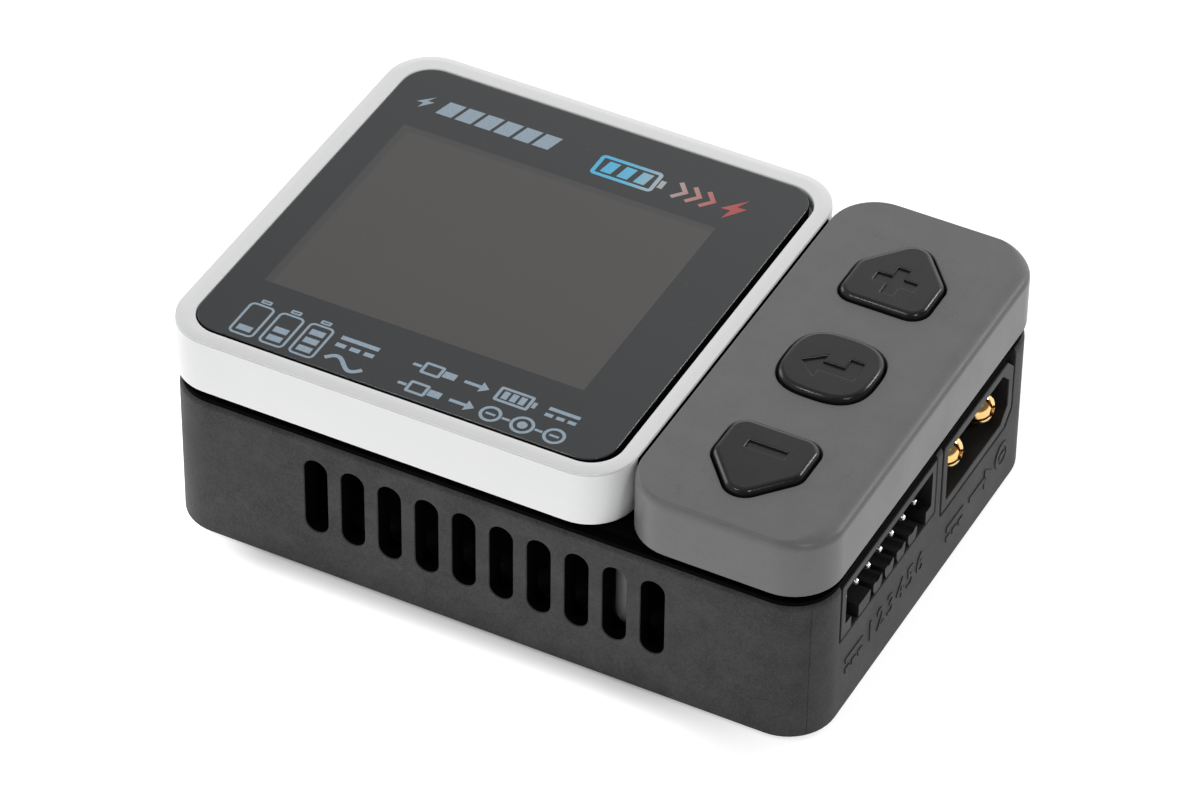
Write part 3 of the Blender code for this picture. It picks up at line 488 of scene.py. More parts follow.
def lens_look():
    """A polished smoked sheet, printed from behind round its window.

    The window's left and top edges are set back, so softer, and the panel below stops short there."""
    printed_tone, screen_tone, band_tone = (0.030, 0.032, 0.034), (0.073, 0.070, 0.068), (0.059, 0.058, 0.058)
    look = Look("smoked_lens", printed_tone, 0.09)
    x, y, _ = look.axes()
    low, high = place(*WINDOW[:2], 0), place(*WINDOW[2:], 0)
    crisp, soft, band, band_soft = 0.04 * MM, 0.12 * MM, 0.8 * MM, 0.25 * MM
    window = look.math("MULTIPLY",
                       look.plateau(x, low.x - soft, low.x + soft, high.x - crisp, high.x + crisp),
                       look.plateau(y, low.y - crisp, low.y + crisp, high.y - soft, high.y + soft))
    panel = look.math("MULTIPLY", look.step(x, low.x + band - band_soft, low.x + band + band_soft),
                      look.step(y, high.y - band + band_soft, high.y - band - band_soft))
    face = look.blend(window, printed_tone, look.blend(panel, band_tone, screen_tone))
    dust = look.spread(look.noise(0.22, 1.0, 0.4), 0.80, 0.86, 0, 0.35)
    look.set("Base Color", look.blend(dust, face, (0.35, 0.35, 0.34)))
    look.set("Roughness", look.spread(look.noise(9.0, 2.0, 0.5), 0.35, 0.65, 0.07, 0.12))
    return look


def ink(name, color):
    """Screen-printed ink seen through the polished lens."""
    look = Look(name, color, 0.16)
    look.tone(look.noise(0.16, 2.0, 0.6), 0.35, 0.65, tinted(color, 0.86), tinted(color, 1.06))
    return look


def gradient_ink():
    """Ink that runs from cyan over pale pink to red along X."""
    look = ink("gradient_ink", (0.5, 0.5, 0.5))
    start, end = (place(x, 0, 0).x for x in TOP_RIGHT_PRINT)
    color = look.add("ValToRGB", {"Fac": look.spread(look.axes()[0], start, end)})["Color"]
    ramp = color.node.color_ramp.elements
    stops = ((0.0, (0.07, 0.50, 0.82)), (0.26, (0.13, 0.52, 0.76)), (0.42, (0.42, 0.50, 0.55)),
             (0.62, (0.50, 0.28, 0.26)), (0.82, (0.50, 0.11, 0.10)), (1.0, (0.46, 0.06, 0.06)))
    for index, (at, tone) in enumerate(stops):
        stop = ramp[index] if index < 2 else ramp.new(at)
        stop.position = at
        stop.color = (*tone, 1)
    grain = look.spread(look.noise(0.16, 2.0, 0.6), 0.35, 0.65, 0, 0.16)
    look.set("Base Color", look.blend(grain, color, (0.10, 0.10, 0.11)))
    return look


def board_look():
    """Green solder mask over copper tracks, with tinned pads."""
    look = Look("solder_mask", (0.010, 0.085, 0.040), 0.32)
    lanes = look.texture("TexBrick", 420.0, "Fac", {"Mortar Size": 0.06, "Brick Width": 1.6,
                                                    "Row Height": 0.5})
    pad = look.spread(look.texture("TexVoronoi", 520.0, "Distance"), 0.20, 0.24, 1, 0)
    mask = look.blend(look.spread(look.noise(0.35, 2.0, 0.6), 0.3, 0.7), (0.008, 0.070, 0.034),
                      (0.014, 0.105, 0.050))
    look.set("Base Color", look.blend(pad, look.blend(lanes, mask, (0.020, 0.150, 0.070)),
                                      (0.55, 0.55, 0.52)))
    look.set("Metallic", pad)
    look.bump(look.math("ADD", lanes, pad), 0.02, 0.6)
    return look


def flex_look():
    """Polyimide film with etched copper lines along Y."""
    look = Look("polyimide_film", (0.45, 0.23, 0.06), 0.35)
    wave = look.texture("TexWave", 900.0, "Fac", {"Distortion": 0.0}, bands_direction="Z")
    look.set("Base Color", look.blend(wave, (0.36, 0.16, 0.035), (0.55, 0.30, 0.09)))
    look.bump(wave, 0.01, 0.5)
    return look


def ferrite_look():
    """Sintered ferrite: dull, pitted and speckled."""
    look = Look("sintered_ferrite", (0.07, 0.07, 0.075), 0.72)
    pits = look.noise(0.25, 5.0, 0.75)
    look.tone(pits, 0.4, 0.62, (0.045, 0.045, 0.05), (0.105, 0.105, 0.11))
    look.bump(pits, 0.04, 0.8)
    return look


def rubber_look(name, color, size):
    """Matt rubber or foam with a skin of cells."""
    look = Look(name, color, 0.82, specular=0.35)
    bloom = look.noise(1.8, 3.0, 0.6)
    look.tone(bloom, 0.35, 0.65, tinted(color, 0.8), tinted(color, 1.35))
    look.set("Roughness", look.spread(bloom, 0.3, 0.7, 0.76, 0.9))
    look.bump(look.texture("TexVoronoi", 1 / (size * MM), "Distance"), 0.02, 0.5)
    return look


def panel_look():
    """The display's glass, with the pixel grid showing faintly."""
    glass = (0.06, 0.058, 0.056)
    look = Look("display_glass", glass, 0.12)
    grid = look.texture("TexBrick", 3000.0, "Fac", {"Mortar Size": 0.08, "Brick Width": 0.5,
                                                    "Row Height": 0.5}, offset=0.0)
    look.set("Base Color", look.blend(grid, glass, (0.02, 0.02, 0.02)))
    return look


# Every material slot of the record, and then the looks that only the visual pieces have.
LOOKS = {
    "case_black": moulded("case_moulding", (0.033, 0.033, 0.0335), 0.6, grain=0.17, relief=0.06,
                          mottle=0.5, specular=0.25),
    "bezel_white": moulded("white_moulding", (0.80, 0.803, 0.805), 0.38, relief=0.003, mottle=0.012),
    "cover_grey": moulded("grey_moulding", (0.151, 0.151, 0.151), 0.34, grain=0.15, relief=0.014,
                          mottle=0.07, specular=0.22),
    "key_black": moulded("key_moulding", (0.011, 0.011, 0.0115), 0.21, grain=0.14, relief=0.008,
                         mottle=0.12, specular=0.38),
    "lens": lens_look(),
    "lcd": panel_look(),
    "flex": flex_look(),
    "board": board_look(),
    "socket_black": moulded("filled_nylon", (0.010, 0.010, 0.0105), 0.48, grain=0.2, relief=0.008,
                            mottle=0.12, specular=0.24),
    "gold": plated("gold_plate", (0.95, 0.62, 0.24), 0.15, along=(0.15, 1, 1)),
    "tin": plated("tin_plate", (0.80, 0.80, 0.78), 0.24, along=(0.2, 1, 1)),
    "screw_steel": plated("zinc_plate", (0.33, 0.33, 0.34), 0.32, wear=0.3),
    "aluminium": plated("extruded_aluminium", (0.62, 0.63, 0.65), 0.36, along=(1, 0.08, 1)),
    "ferrite": ferrite_look(),
    "silicone": rubber_look("silicone_rubber", (0.030, 0.030, 0.031), 0.35),
    "foam": rubber_look("gasket_foam", (0.02, 0.02, 0.02), 0.12),
}
# A paler grey than the black deck: painted light on the post where it shows through a vent.
LIT_POST_LOOK = moulded("post_painted_light", (0.15, 0.15, 0.15), 0.5, mottle=0.1)
SHADOW_PAINT = moulded("shadow_paint", (0.0012, 0.0012, 0.0013), 0.85, mottle=0.2, specular=0.03)
INK = ink("pale_ink", PRINT_COLOR)
GRADIENT = gradient_ink()


def seat(piece, slot, *nodes, body="case", look=None):
    """Finishes a piece: its look, its shading, its body and the CAD nodes that it stands for."""
    mesh = piece.data
    mesh.materials.clear()
    mesh.materials.append((look or LOOKS[slot]).material)
    mesh.shade_smooth()
    mesh.set_sharp_from_angle(angle=SMOOTH_ANGLE)
    piece.modifiers.new("face_weighted_normals", "WEIGHTED_NORMAL").keep_sharp = True
    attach(piece, body)
    if nodes:
        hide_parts(*nodes)


# Lower case.  The outlines that end in _at are functions of how far they are grown.

def vent_at(index):
    """One upright vent in X and Z."""
    x, half = VENT_FIRST_X + VENT_PITCH * index, VENT_WIDTH / 2
    return lambda grow: rounded_rect(x - half - grow, VENT_BOTTOM - grow, x + half + grow,
                                     VENT_TOP + grow, half + grow, 8)


def xt_outline(box, grow=0.0, top=0.0, soften=0.25):
    """The two-pole socket's face in Y and Z: its rear end has cut corners."""
    y0, y1, z0, z1 = box.y0 - grow, box.y1 + grow, box.z0 - grow, box.z1 + grow + top
    corners = [(y0, z0), (y1 - XT_CHAMFER, z0), (y1, z0 + XT_CHAMFER), (y1, z1 - XT_CHAMFER),
               (y1 - XT_CHAMFER, z1), (y0, z1)]
    return soft_polygon(corners, [max(0.05, soften + grow)] * len(corners), 4)


def intake_at(row):
    """One slot of the round grille under the fan."""
    reach_radius, pitch, half, curve = 12.0, 3.6, 1.1, 0.95
    fan = span("fan_housing")
    x, y = fan.x, fan.y + row * pitch
    reach = math.sqrt(reach_radius ** 2 - (row * pitch * curve) ** 2)
    return lambda grow: rounded_rect(x - reach - grow, y - half - grow, x + reach + grow,
                                     y + half + grow, half + grow, 6)


def open_top_at(node, front, rear, below, radius, steps):
    """An opening round a socket in Y and Z that is open at the lower case's rim."""
    box = span(node)
    return lambda grow: rounded_rect(box.y0 - front - grow, box.z0 - below - grow, box.y1 + rear + grow,
                                     TUB.z1 + 2, radius + grow, steps)


def tub_rings():
    """The lower case's skin, from its underside over the rim and down to its floor."""
    foot_round, rim_round, inner_round, floor_round = 0.22, 0.85, 0.15, 0.6

    def skin(grow):
        return TUB.plan(-grow, TUB_RADIUS + grow)
    return (rounding(skin, TUB.z0, foot_round, -1)[::-1] + rounding(skin, TUB.z1, rim_round, 1, 8)
            + rounding(lambda grow: skin(-TUB_WALL - grow), TUB.z1, inner_round)[::-1]
            + rounding(lambda grow: skin(-TUB_WALL + grow), TUB_FLOOR, floor_round, -1))


def places(prefix):
    """Where the four screws or feet are, in X and Y."""
    return [(box.x, box.y) for box in (span(prefix + name) for name in CORNERS)]


def case_tub():
    """The lower case with vents, a grille, socket openings, and pockets for screws and feet."""
    boss, screw_hole, head, foot = 2.3, 1.15, 1.95, span("foot_front_left").radius + 0.15
    screws = places("case_screw_")
    tub = loft("case_tub", tub_rings())
    join(tub, loft("tub_bosses", *[slab(circle(x, y, boss), TUB_FLOOR - 0.6, 4.0) for x, y in screws]))
    lip, inside, thin, spare = 0.12, TUB_WALL + 0.4, 0.7, 0.8
    panel = rectangle(VENT_FIRST_X - VENT_WIDTH, VENT_BOTTOM - spare,
                      VENT_FIRST_X + VENT_PITCH * (VENT_COUNT - 1) + VENT_WIDTH, VENT_TOP + spare)
    cut(tub, loft("thin_panels", slab(panel, TUB.y0 + thin, TUB.y0 + inside),
                  slab(panel, TUB.y1 - inside, TUB.y1 - thin), axis="Y"))
    vents = [vent_at(index) for index in range(VENT_COUNT)]
    cut(tub, *[loft(name, *[lipped(vent, face, inner, lip) for vent in vents], axis="Y")
               for name, face, inner in (("front_vents", TUB.y0, TUB.y0 + inside),
                                         ("rear_vents", TUB.y1, TUB.y1 - inside))])
    cut(tub, loft("grille", *[lipped(intake_at(row), TUB.z0, TUB_FLOOR + 1, 0.2) for row in range(-3, 4)]))
    output, source = span("output_socket_shell"), span("input_socket_shell")
    for name, side, outline_at in (
            ("output", 1, lambda grow: xt_outline(output, 0.3 + grow, 3.0)),
            ("input", -1, lambda grow: xt_outline(source, 0.3 + grow, 3.0)),
            ("balance", 1, open_top_at("balance_shell", 0.3, 0.2, 0.2, 0.25, 4)),
            ("usb", -1, open_top_at("usb_c_shell", 0.35, 0.35, 0.3, 1.8, 8))):
        face, deep = TUB.x1 if side > 0 else TUB.x0, 2.6
        cut(tub, loft(name + "_opening", lipped(outline_at, face, face - side * deep, lip), axis="X"))
    cut(tub, loft("head_pockets", *[lipped(disc_at(x, y, head), TUB.z0, 1.9, 0.15) for x, y in screws]),
        loft("foot_pockets", *[lipped(disc_at(x, y, foot), TUB.z0, 0.4, 0.1) for x, y in places("foot_")]))
    cut(tub, loft("screw_holes", *[slab(circle(x, y, screw_hole, 24), 1.0, 5.0) for x, y in screws]))
    # A fine groove where two slides of the mould met, down the front right corner.
    angle = math.radians(PARTING_ANGLE)
    groove = circle(TUB.x1 - TUB_RADIUS + TUB_RADIUS * math.sin(angle),
                    TUB.y0 + TUB_RADIUS - TUB_RADIUS * math.cos(angle), 0.06, 8)
    cut(tub, loft("parting_groove", slab(groove, TUB.z0 - 1, TUB.z1 + 1)))
    seat(tub, "case_black", "lower_case")
    # Painted shade: near-black sleeves inside the vents keep their insides dark.
    vent_shade = bmesh.new()
    for low, high in ((TUB.y0 + lip + 0.02, TUB.y0 + inside), (TUB.y1 - inside, TUB.y1 - lip - 0.02)):
        fill(vent_shade, [], [(vent(0.12), vent(-0.015)) for vent in vents], low, high, "Y")
    seat(make("vent_painted_shade", vent_shade), "case_black", look=SHADOW_PAINT)


# Raised marks

def dc_symbol(x0, x1, low, bar):
    """The direct-current symbol: a bar over three dashes."""
    dash = (x1 - x0) / 3.9
    starts = [x0 + index * (x1 - x0 - dash) / 2 for index in range(3)]
    return [rectangle(x0, low + 2 * bar, x1, low + 3 * bar)] + [
        rectangle(start, low, start + dash, low + bar) for start in starts]


def add_numeral(shape, text, size, y, z):
    """Adds a flat numeral on the right end, from Blender's built-in face, centred on y."""
    curve = bpy.data.curves.new("numeral", "FONT")
    curve.body, curve.size, curve.resolution_u, curve.align_x = text, size, 4, "CENTER"
    holder = bpy.data.objects.new("numeral", curve)
    bpy.context.scene.collection.objects.link(holder)
    bpy.context.view_layer.update()
    flat = bpy.data.meshes.new_from_object(holder.evaluated_get(bpy.context.evaluated_depsgraph_get()))
    for vertex in flat.vertices:
        vertex.co = place(MARK_LOW, y + vertex.co.x, z + vertex.co.y)
    shape.from_mesh(flat)
    bpy.data.objects.remove(holder)
    bpy.data.curves.remove(curve)
    bpy.data.meshes.remove(flat)


def case_marks():
    """Tone-on-tone marks moulded under the sockets: channel numbers and polarity symbols."""
    shape = bmesh.new()
    for index in range(6):
        add_numeral(shape, str(index + 1), 3.5, 12.1 + 2.15 * index, 4.1)
    bmesh.ops.remove_doubles(shape, verts=shape.verts, dist=1e-7)
    for item in bmesh.ops.extrude_face_region(shape, geom=shape.faces[:])["geom"]:
        if isinstance(item, bmesh.types.BMVert):
            item.co.x += (MARK_HIGH - MARK_LOW) * MM
    outlines = dc_symbol(6.7, 10.4, 4.3, 0.6) + dc_symbol(28.8, 32.6, 3.0, 0.62)
    outlines += [ribbon([(34.0, 4.3), (37.6, 4.3)], 0.6), [(37.4, 3.1), (39.2, 4.3), (37.4, 5.5)],
                 rectangle(40.8, 4.15, 42.0, 4.65)]
    ring = (circle(41.4, 4.4, 1.5, 40), circle(41.4, 4.4, 0.95, 40))
    seat(make("case_marks", fill(shape, outlines, [ring], MARK_LOW, MARK_HIGH, "X")), "case_black")


# Deck

def deck_frame():
    """The black frame between the lower case and the covers, with bosses, post and a rim band, frame and band
    in painted shade.
    """
    rim_radius, plate_inset, plate_radius, tongue = 3.8, 2.3, 2.7, 0.5
    rim_low, rim_top, plate_low = 16.55, 17.4, 17.35
    notch_x0, notch_x1, notch_depth, spare = 45.3, 51.2, 5.4, 0.2
    rear = DEPTH - plate_inset
    deck = loft("deck_frame", soft_slab(CASE.plan(DECK.x0, rim_radius), rim_low, rim_top, 0.1, 0.18))
    join(deck, loft("deck_plate", slab(CASE.plan(plate_inset, plate_radius), rim_low + 0.2, DECK.z1)))
    cut(deck, loft("deck_pocket", slab(CASE.plan(2.9, 2.1), TUB.z1 - 1, plate_low)))
    bare = [rectangle(notch_x0, 0, notch_x1, notch_depth),
            rectangle(notch_x0, DEPTH - notch_depth, notch_x1, DEPTH)]
    cut(deck, loft("deck_notches", *[slab(outline, rim_top - 0.005, DECK.z1 + 1) for outline in bare]))
    pads = [rectangle(notch_x0 - spare, plate_inset, notch_x1 + spare, notch_depth + spare),
            rectangle(notch_x0 - spare, DEPTH - notch_depth - spare, notch_x1 + spare, rear)]
    join(deck, loft("deck_pads", *[slab(outline, rim_low, rim_top - 0.01) for outline in pads]))
    join(deck, loft("deck_bosses", *[slab(circle(x, y, 1.75, 32), 4.3, plate_low + 0.4)
                                     for x, y in places("case_screw_")]))
    tongues = [rectangle(14.0, plate_inset, 44.0, plate_inset + tongue),
               rectangle(14.0, rear - tongue, 55.0, rear)]
    join(deck, loft("deck_tongues", *[slab(outline, 14.6, rim_top - 0.3) for outline in tongues]))
    # The deck's black plastic is given shadow paint: painted shade for the deep reveal under the covers.
    seat(deck, "case_black", "mid_deck", look=SHADOW_PAINT)
    # Painted shade: a near-black band over the lower case's rim darkens the reveal under the covers.
    edge = CASE.plan(0.35, 4.65)
    rim_shade = fill(bmesh.new(), [], [(edge, grown(edge, -2.0))], TUB.z1 - 0.35, rim_low + 0.07)
    seat(make("deck_rim_shade", rim_shade), "case_black", look=SHADOW_PAINT)
    # The post takes the paler grey: painted light where it shows through a vent.
    x, y, radius, low = 48.2, 3.65, 1.35, 4.6
    rings = rounding(disc_at(x, y, radius, 32), low, radius, -1, 6)[::-1]
    rings[0] = (circle(x, y, 0.12, 32), low)
    seat(loft("deck_post", rings + [(circle(x, y, radius, 32), rim_low + 0.3)]), "case_black",
         look=LIT_POST_LOOK)


# Covers

def hem(box, radius):
    """The rounded lower edge of a cover."""
    return rounding(lambda grow: box.plan(-grow, radius + grow), box.z0, 0.1, -1, 5)[::-1]


def bezel_frame():
    """The white frame round the display, its recess and the ledge that carries the lens.

    Its top falls gently to a crisp edge, under which runs a hairline groove."""
    rings = [(BEZEL.plan(inset, BEZEL_RADIUS - inset), BEZEL.z1 - fall) for inset, fall in BEZEL_PROFILE]
    bezel = loft("bezel_frame", hem(BEZEL, BEZEL_RADIUS) + rings)
    hollow = BEZEL.plan(COVER_WALL, BEZEL_RADIUS - COVER_WALL)
    cut(bezel, loft("bezel_hollow", slab(hollow, BEZEL.z0 - 1, LEDGE_BOTTOM)))

    def opening(grow):
        return rounded_rect(LENS.x0 - LENS_GAPS["left"] - grow, LENS.y0 - LENS_GAPS["front"] - grow,
                            LENS.x1 + LENS_GAPS["right"] + grow, LENS.y1 + LENS_GAPS["rear"] + grow,
                            LENS_RADIUS + OPENING_SPREAD + grow)
    cut(bezel, loft("bezel_recess", lipped(opening, BEZEL.z1, LEDGE_TOP, 0.14)))
    cut(bezel, loft("bezel_window", slab(opening(-LEDGE_WIDTH), LEDGE_BOTTOM - 1, LEDGE_TOP + 1)))
    seat(bezel, "bezel_white", "display_bezel")


def keypad_shell():
    """The grey cover, whose outer end turns down in a wide curve, with its three key holes.

    A near-black strip of painted shade darkens the gap between the two covers."""
    rings = hem(COVER, COVER_RADIUS)
    for part, fall in quarter(1.0, 12, COVER_DROP):
        side, end = COVER_EDGE_ROUND * part, COVER_END_ROUND * part
        radii = ((COVER_RADIUS - side, COVER_RADIUS - side), (COVER_RADIUS - end, COVER_RADIUS - side))
        rings.append((rounded_rect(COVER.x0 + side, COVER.y0 + side, COVER.x1 - end, COVER.y1 - side,
                                   radii), COVER.z1 - fall))
    cover = loft("keypad_shell", rings)
    hollow, plate_low = COVER.plan(COVER_WALL, COVER_RADIUS - COVER_WALL), COVER.z1 - KEYPAD_PLATE
    cut(cover, loft("keypad_hollow", slab(hollow, COVER.z0 - 1, plate_low)))
    holes = [lipped(lambda grow, outline=outline: grown(outline, KEY_CLEARANCE + grow),
                    COVER.z1, plate_low - 1, 0.12) for outline in key_outlines().values()]
    cut(cover, loft("key_holes", *holes))
    seat(cover, "cover_grey", "keypad_cover")
    # Painted shade: a near-black strip in the gap between the two covers.
    strip = rectangle(BEZEL.x1 - 0.01, BEZEL_RADIUS, BEZEL.x1 + 0.1, DEPTH - BEZEL_RADIUS)
    seat(loft("cover_gap_shade", slab(strip, BEZEL.z0 + 0.2, BEZEL.z1 - 0.48)), "case_black",
         look=SHADOW_PAINT)


# Keys

def house(direction, *reaches):
    """A five-sided key that points to the back (1) or the front (-1)."""
    half = HOUSE_WIDTH / 2
    foot, shoulder, apex = (KEY_Y + direction * reach for reach in reaches)
    corners = [(KEY_X - half, foot), (KEY_X + half, foot), (KEY_X + half, shoulder), (KEY_X, apex),
               (KEY_X - half, shoulder)]
    return soft_polygon(corners[::direction], HOUSE_RADII[::direction], 8)


def key_outlines():
    """The three keys' outlines, from the back to the front."""
    enter = squircle(KEY_X, KEY_Y, ENTER_WIDTH, ENTER_DEPTH, ENTER_POWER)
    return {"plus": house(*HOUSES["plus"]), "enter": enter, "minus": house(*HOUSES["minus"])}


def key_icon(name):
    """What is sunk into a key, round the middle of its plunger: a plus, a return arrow or a minus."""
    arm, half, minus_arm, minus_half = 2.05, 0.6, 1.95, 0.5
    shapes = {
        "plus": [(arm, -half), (arm, half), (half, half), (half, arm), (-half, arm), (-half, half),
                 (-arm, half), (-arm, -half), (-half, -half), (-half, -arm), (half, -arm), (half, -half)],
        "enter": [(-2.8, -0.7), (-0.9, -2.3), (-0.9, -1.25), (2.7, -1.25), (2.7, 1.4), (1.35, 1.4),
                  (1.35, 0), (-0.9, 0), (-0.9, 0.9)],
        "minus": rectangle(-minus_arm, -minus_half, minus_arm, minus_half)}
    return [(KEY_X + x, span(name + "_plunger").y + y) for x, y in shapes[name]]


def keycaps():
    """Each key with its flange, rounded top edge and sunk icon, and its plunger with a rounded foot."""
    for name, outline in key_outlines().items():
        box, stem = span(name + "_button"), span(name + "_plunger")
        flange, flange_top = grown(outline, KEY_FLANGE), box.z0 + KEY_FLANGE_HEIGHT
        rings = [(flange, box.z0), (flange, flange_top), (outline, flange_top + 0.01)]
        key = loft(name + "_keycap", rings + rounding(lambda grow: grown(outline, grow), box.z1,
                                                      KEY_ROUND, 1, 8))
        icon = key_icon(name)
        cut(key, loft(name + "_icon", lipped(lambda grow: offset_corners(icon, grow), box.z1,
                                             box.z1 - ICON_DEPTH, ICON_LIP)))
        seat(key, "key_black", name + "_button", body=name + "_key")
        stem_rings = soft_slab(circle(stem.x, stem.y, stem.radius, 32), stem.z0, stem.z1, 0.15, 0.05)
        seat(loft(name + "_stem", stem_rings), "key_black", name + "_plunger", body=name + "_key")


# Lens and its print

def lens_sheet():
    """The smoked lens, and a near-black band round it that is its printed edge and painted shade in the gap
    to the frame.
    """
    paint, face_depth, polish, rim = 0.02, 0.13, 0.10, 0.5
    outline = rounded_rect(LENS.x0, LENS.y0 + LENS_TRIM["front"], LENS.x1 - LENS_TRIM["right"], LENS.y1,
                           LENS_RADIUS)
    sheet = soft_slab(grown(outline, -paint), LENS.z0 + paint, LENS.z1, 0.05, polish)
    seat(loft("lens_sheet", sheet), "lens", "display_lens")
    # The near-black band is partly the lens's printed edge and partly painted shade for the gap round the
    # lens.
    edge = fill(bmesh.new(), [], [(outline, grown(outline, -rim))], LENS.z0, LENS.z1 - face_depth)
    seat(make("lens_edge_and_gap_shade", edge), "lens", look=SHADOW_PAINT)


class Print:
    """Outlines, and bands between outer and inner outlines, printed together on the lens."""

    def __init__(self, *outlines):
        self.outlines, self.bands = list(outlines), []

    def bar(self, *corners):
        self.outlines.append(rectangle(*corners))

    def frame(self, x0, y0, x1, y1, radius, line):
        """A rounded rectangle drawn with a line."""
        self.bands.append((rounded_rect(x0, y0, x1, y1, radius, 5),
                           rounded_rect(x0 + line, y0 + line, x1 - line, y1 - line,
                                        max(0.02, radius - line), 5)))

    def ring(self, x, y, radius, line=0.32):
        self.bands.append((circle(x, y, radius, 32), circle(x, y, radius - line, 32)))

    def feed(self, x, y):
        """A barrel plug and an arrow that points right."""
        self.frame(x, y - 0.85, x + 2.1, y + 0.85, 0.25, 0.32)
        self.bar(x + 2.2, y - 0.45, x + 3.5, y + 0.45)
        self.bar(x - 1.0, y - 0.18, x - 0.1, y + 0.18)
        start, end = x + 4.4, x + 6.1
        self.bar(start, y - 0.2, end, y + 0.2)
        self.outlines.append([(end, y - 0.75), (end + 0.9, y), (end, y + 0.75)])

    def finish(self, name, look=None):
        shape = fill(bmesh.new(), self.outlines, self.bands, PRINT_LOW, PRINT_HIGH)
        seat(make(name, shape), "lens", look=look or INK)


def slanted(x0, x1, low, high, lean):
    """An upright bar that leans to the right."""
    return [(x0, low), (x1, low), (x1 + lean, high), (x0 + lean, high)]


def bolt(x, low, high, width):
    """A lightning bolt."""
    half, tall = (low + high) / 2, high - low
    return [(x + width * across, half + tall * up)
            for across, up in ((0.30, -0.5), (1, 0.12), (0.58, 0.10), (0.86, 0.5), (0, -0.12), (0.42, -0.10))]


def prints():
    """What is printed round the window: charge cells, a gauge, supply symbols and input pictograms."""
    width, pitch = 1.75, 2.13
    cells = [slanted(x, x + width, 40.7, 42.9, 0.55) for x in (7.4 + cell * pitch for cell in range(6))]
    Print(bolt(4.9, 40.7, 42.9, 1.7), *cells).finish("lens_print_cells")

    cells = [slanted(x, x + 1.15, 40.2, 42.0, 0.3) for x in (25.75 + cell * 1.8 for cell in range(3))]
    chevrons = [ribbon([(x, 39.9), (x + 1.0, 41.1), (x, 42.3)], 0.48)
                for x in (33.6 + step * 1.5 for step in range(3))]
    gauge = Print(*cells, *chevrons, bolt(38.6, 39.2, 42.9, 2.4))
    gauge.frame(24.9, 39.5, 31.6, 42.7, 0.5, 0.42)
    gauge.bar(31.75, 40.5, 32.3, 41.7)
    gauge.finish("lens_print_gauge", GRADIENT)

    wave = [(16.2 + step * 0.25, 3.4 + 0.7 * math.sin(2 * math.pi * step / 16)) for step in range(17)]
    supply = Print(*dc_symbol(16.2, 20.2, 5.3, 0.55), ribbon(wave, 0.45))
    width, pitch, low, high, line = 2.7, 3.2, 2.5, 7.3, 0.26
    for cell in range(3):
        x = 6.2 + cell * pitch
        supply.frame(x, low, x + width, high, 0.6, line)
        supply.frame(x + 0.8, high + 0.18, x + width - 0.8, high + 0.72, 0.12, line * 0.8)
        for start in (low + 0.65 + bar * 1.25 for bar in range(cell + 1)):
            supply.bar(x + 0.6, start, x + width - 0.6, start + 0.8)
    supply.finish("lens_print_supply")

    upper, lower = 6.5, 3.55
    inputs = Print(*dc_symbol(38.0, 41.2, upper - 0.8, 0.45), circle(36.9, lower, 0.5, 24))
    inputs.feed(24.9, upper)
    inputs.feed(24.9, lower)
    inputs.frame(32.7, upper - 1.05, 36.3, upper + 1.05, 0.25, 0.32)
    inputs.bar(36.4, upper - 0.42, 36.8, upper + 0.42)
    for start in (33.3 + cell * 0.88 for cell in range(3)):
        inputs.bar(start, upper - 0.55, start + 0.62, upper + 0.55)
    for x, radius in ((33.6, 1.1), (36.9, 1.2), (40.2, 1.1)):
        inputs.ring(x, lower, radius)
    for x0, x1, half in ((33.1, 34.1, 0.14), (39.7, 40.7, 0.14), (34.8, 35.6, 0.15), (38.2, 39.0, 0.15)):
        inputs.bar(x0, lower - half, x1, lower + half)
    inputs.finish("lens_print_inputs")


# Two-pole sockets, on the left (-1) or the right (1) end

def two_pole_socket(name, side):
    """A shrouded socket with two slit bullet pins that stand in it."""
    box = span(name + "_shell")
    face, back = (box.x1, box.x0) if side > 0 else (box.x0, box.x1)
    inside = Span(box.x0, box.y0 + XT_WALL, box.z0 + XT_WALL, box.x1, box.y1 - XT_WALL, box.z1 - XT_WALL)
    rings = [(xt_outline(box), back)]
    rings += rounding(lambda grow: xt_outline(box, grow), face, 0.12, side)
    rings += rounding(lambda grow: xt_outline(inside, -grow), face, 0.1, side)[::-1]
    floor = face - side * XT_CAVITY
    shell = loft(name + "_body", rings + [(xt_outline(inside), floor)], axis="X")
    collars, bores = [], []
    nodes = [name + "_pin_1", name + "_pin_2"]
    for pin in map(span, nodes):
        radius, mouth = (pin.y1 - pin.y0) / 2, floor + side * 0.8
        collar = disc_at(pin.y, pin.z0 + radius, radius)
        collars.append([(collar(0.75), floor - side * 0.5), (collar(0.75), mouth - side * 0.15),
                        (collar(0.6), mouth)])
        bores.append(slab(collar(0.15), back - side, mouth + side))
    join(shell, loft(name + "_collars", *collars, axis="X"))
    cut(shell, loft(name + "_bores", *bores, axis="X"))
    seat(shell, "socket_black", name + "_shell")
    for index, node in enumerate(nodes):
        bullet("%s_bullet_%d" % (name, index + 1), node, side)


# A bullet's outline and its hollow: (distance behind the tip, radius)
BULLET_RADIUS = 1.75
BULLET_PROFILE = ((0.00, 0.66), (0.06, 0.86), (0.20, 1.12), (0.42, 1.36), (0.72, 1.56), (1.15, 1.70),
                  (1.75, 1.75), (2.60, 1.72), (3.60, 1.66), (4.80, 1.62), (6.20, 1.60), (6.35, 1.75))
BULLET_HOLLOW = ((-1.0, 0.62), (0.02, 0.60), (0.3, 0.5), (5.2, 0.5), (5.4, 0.2))


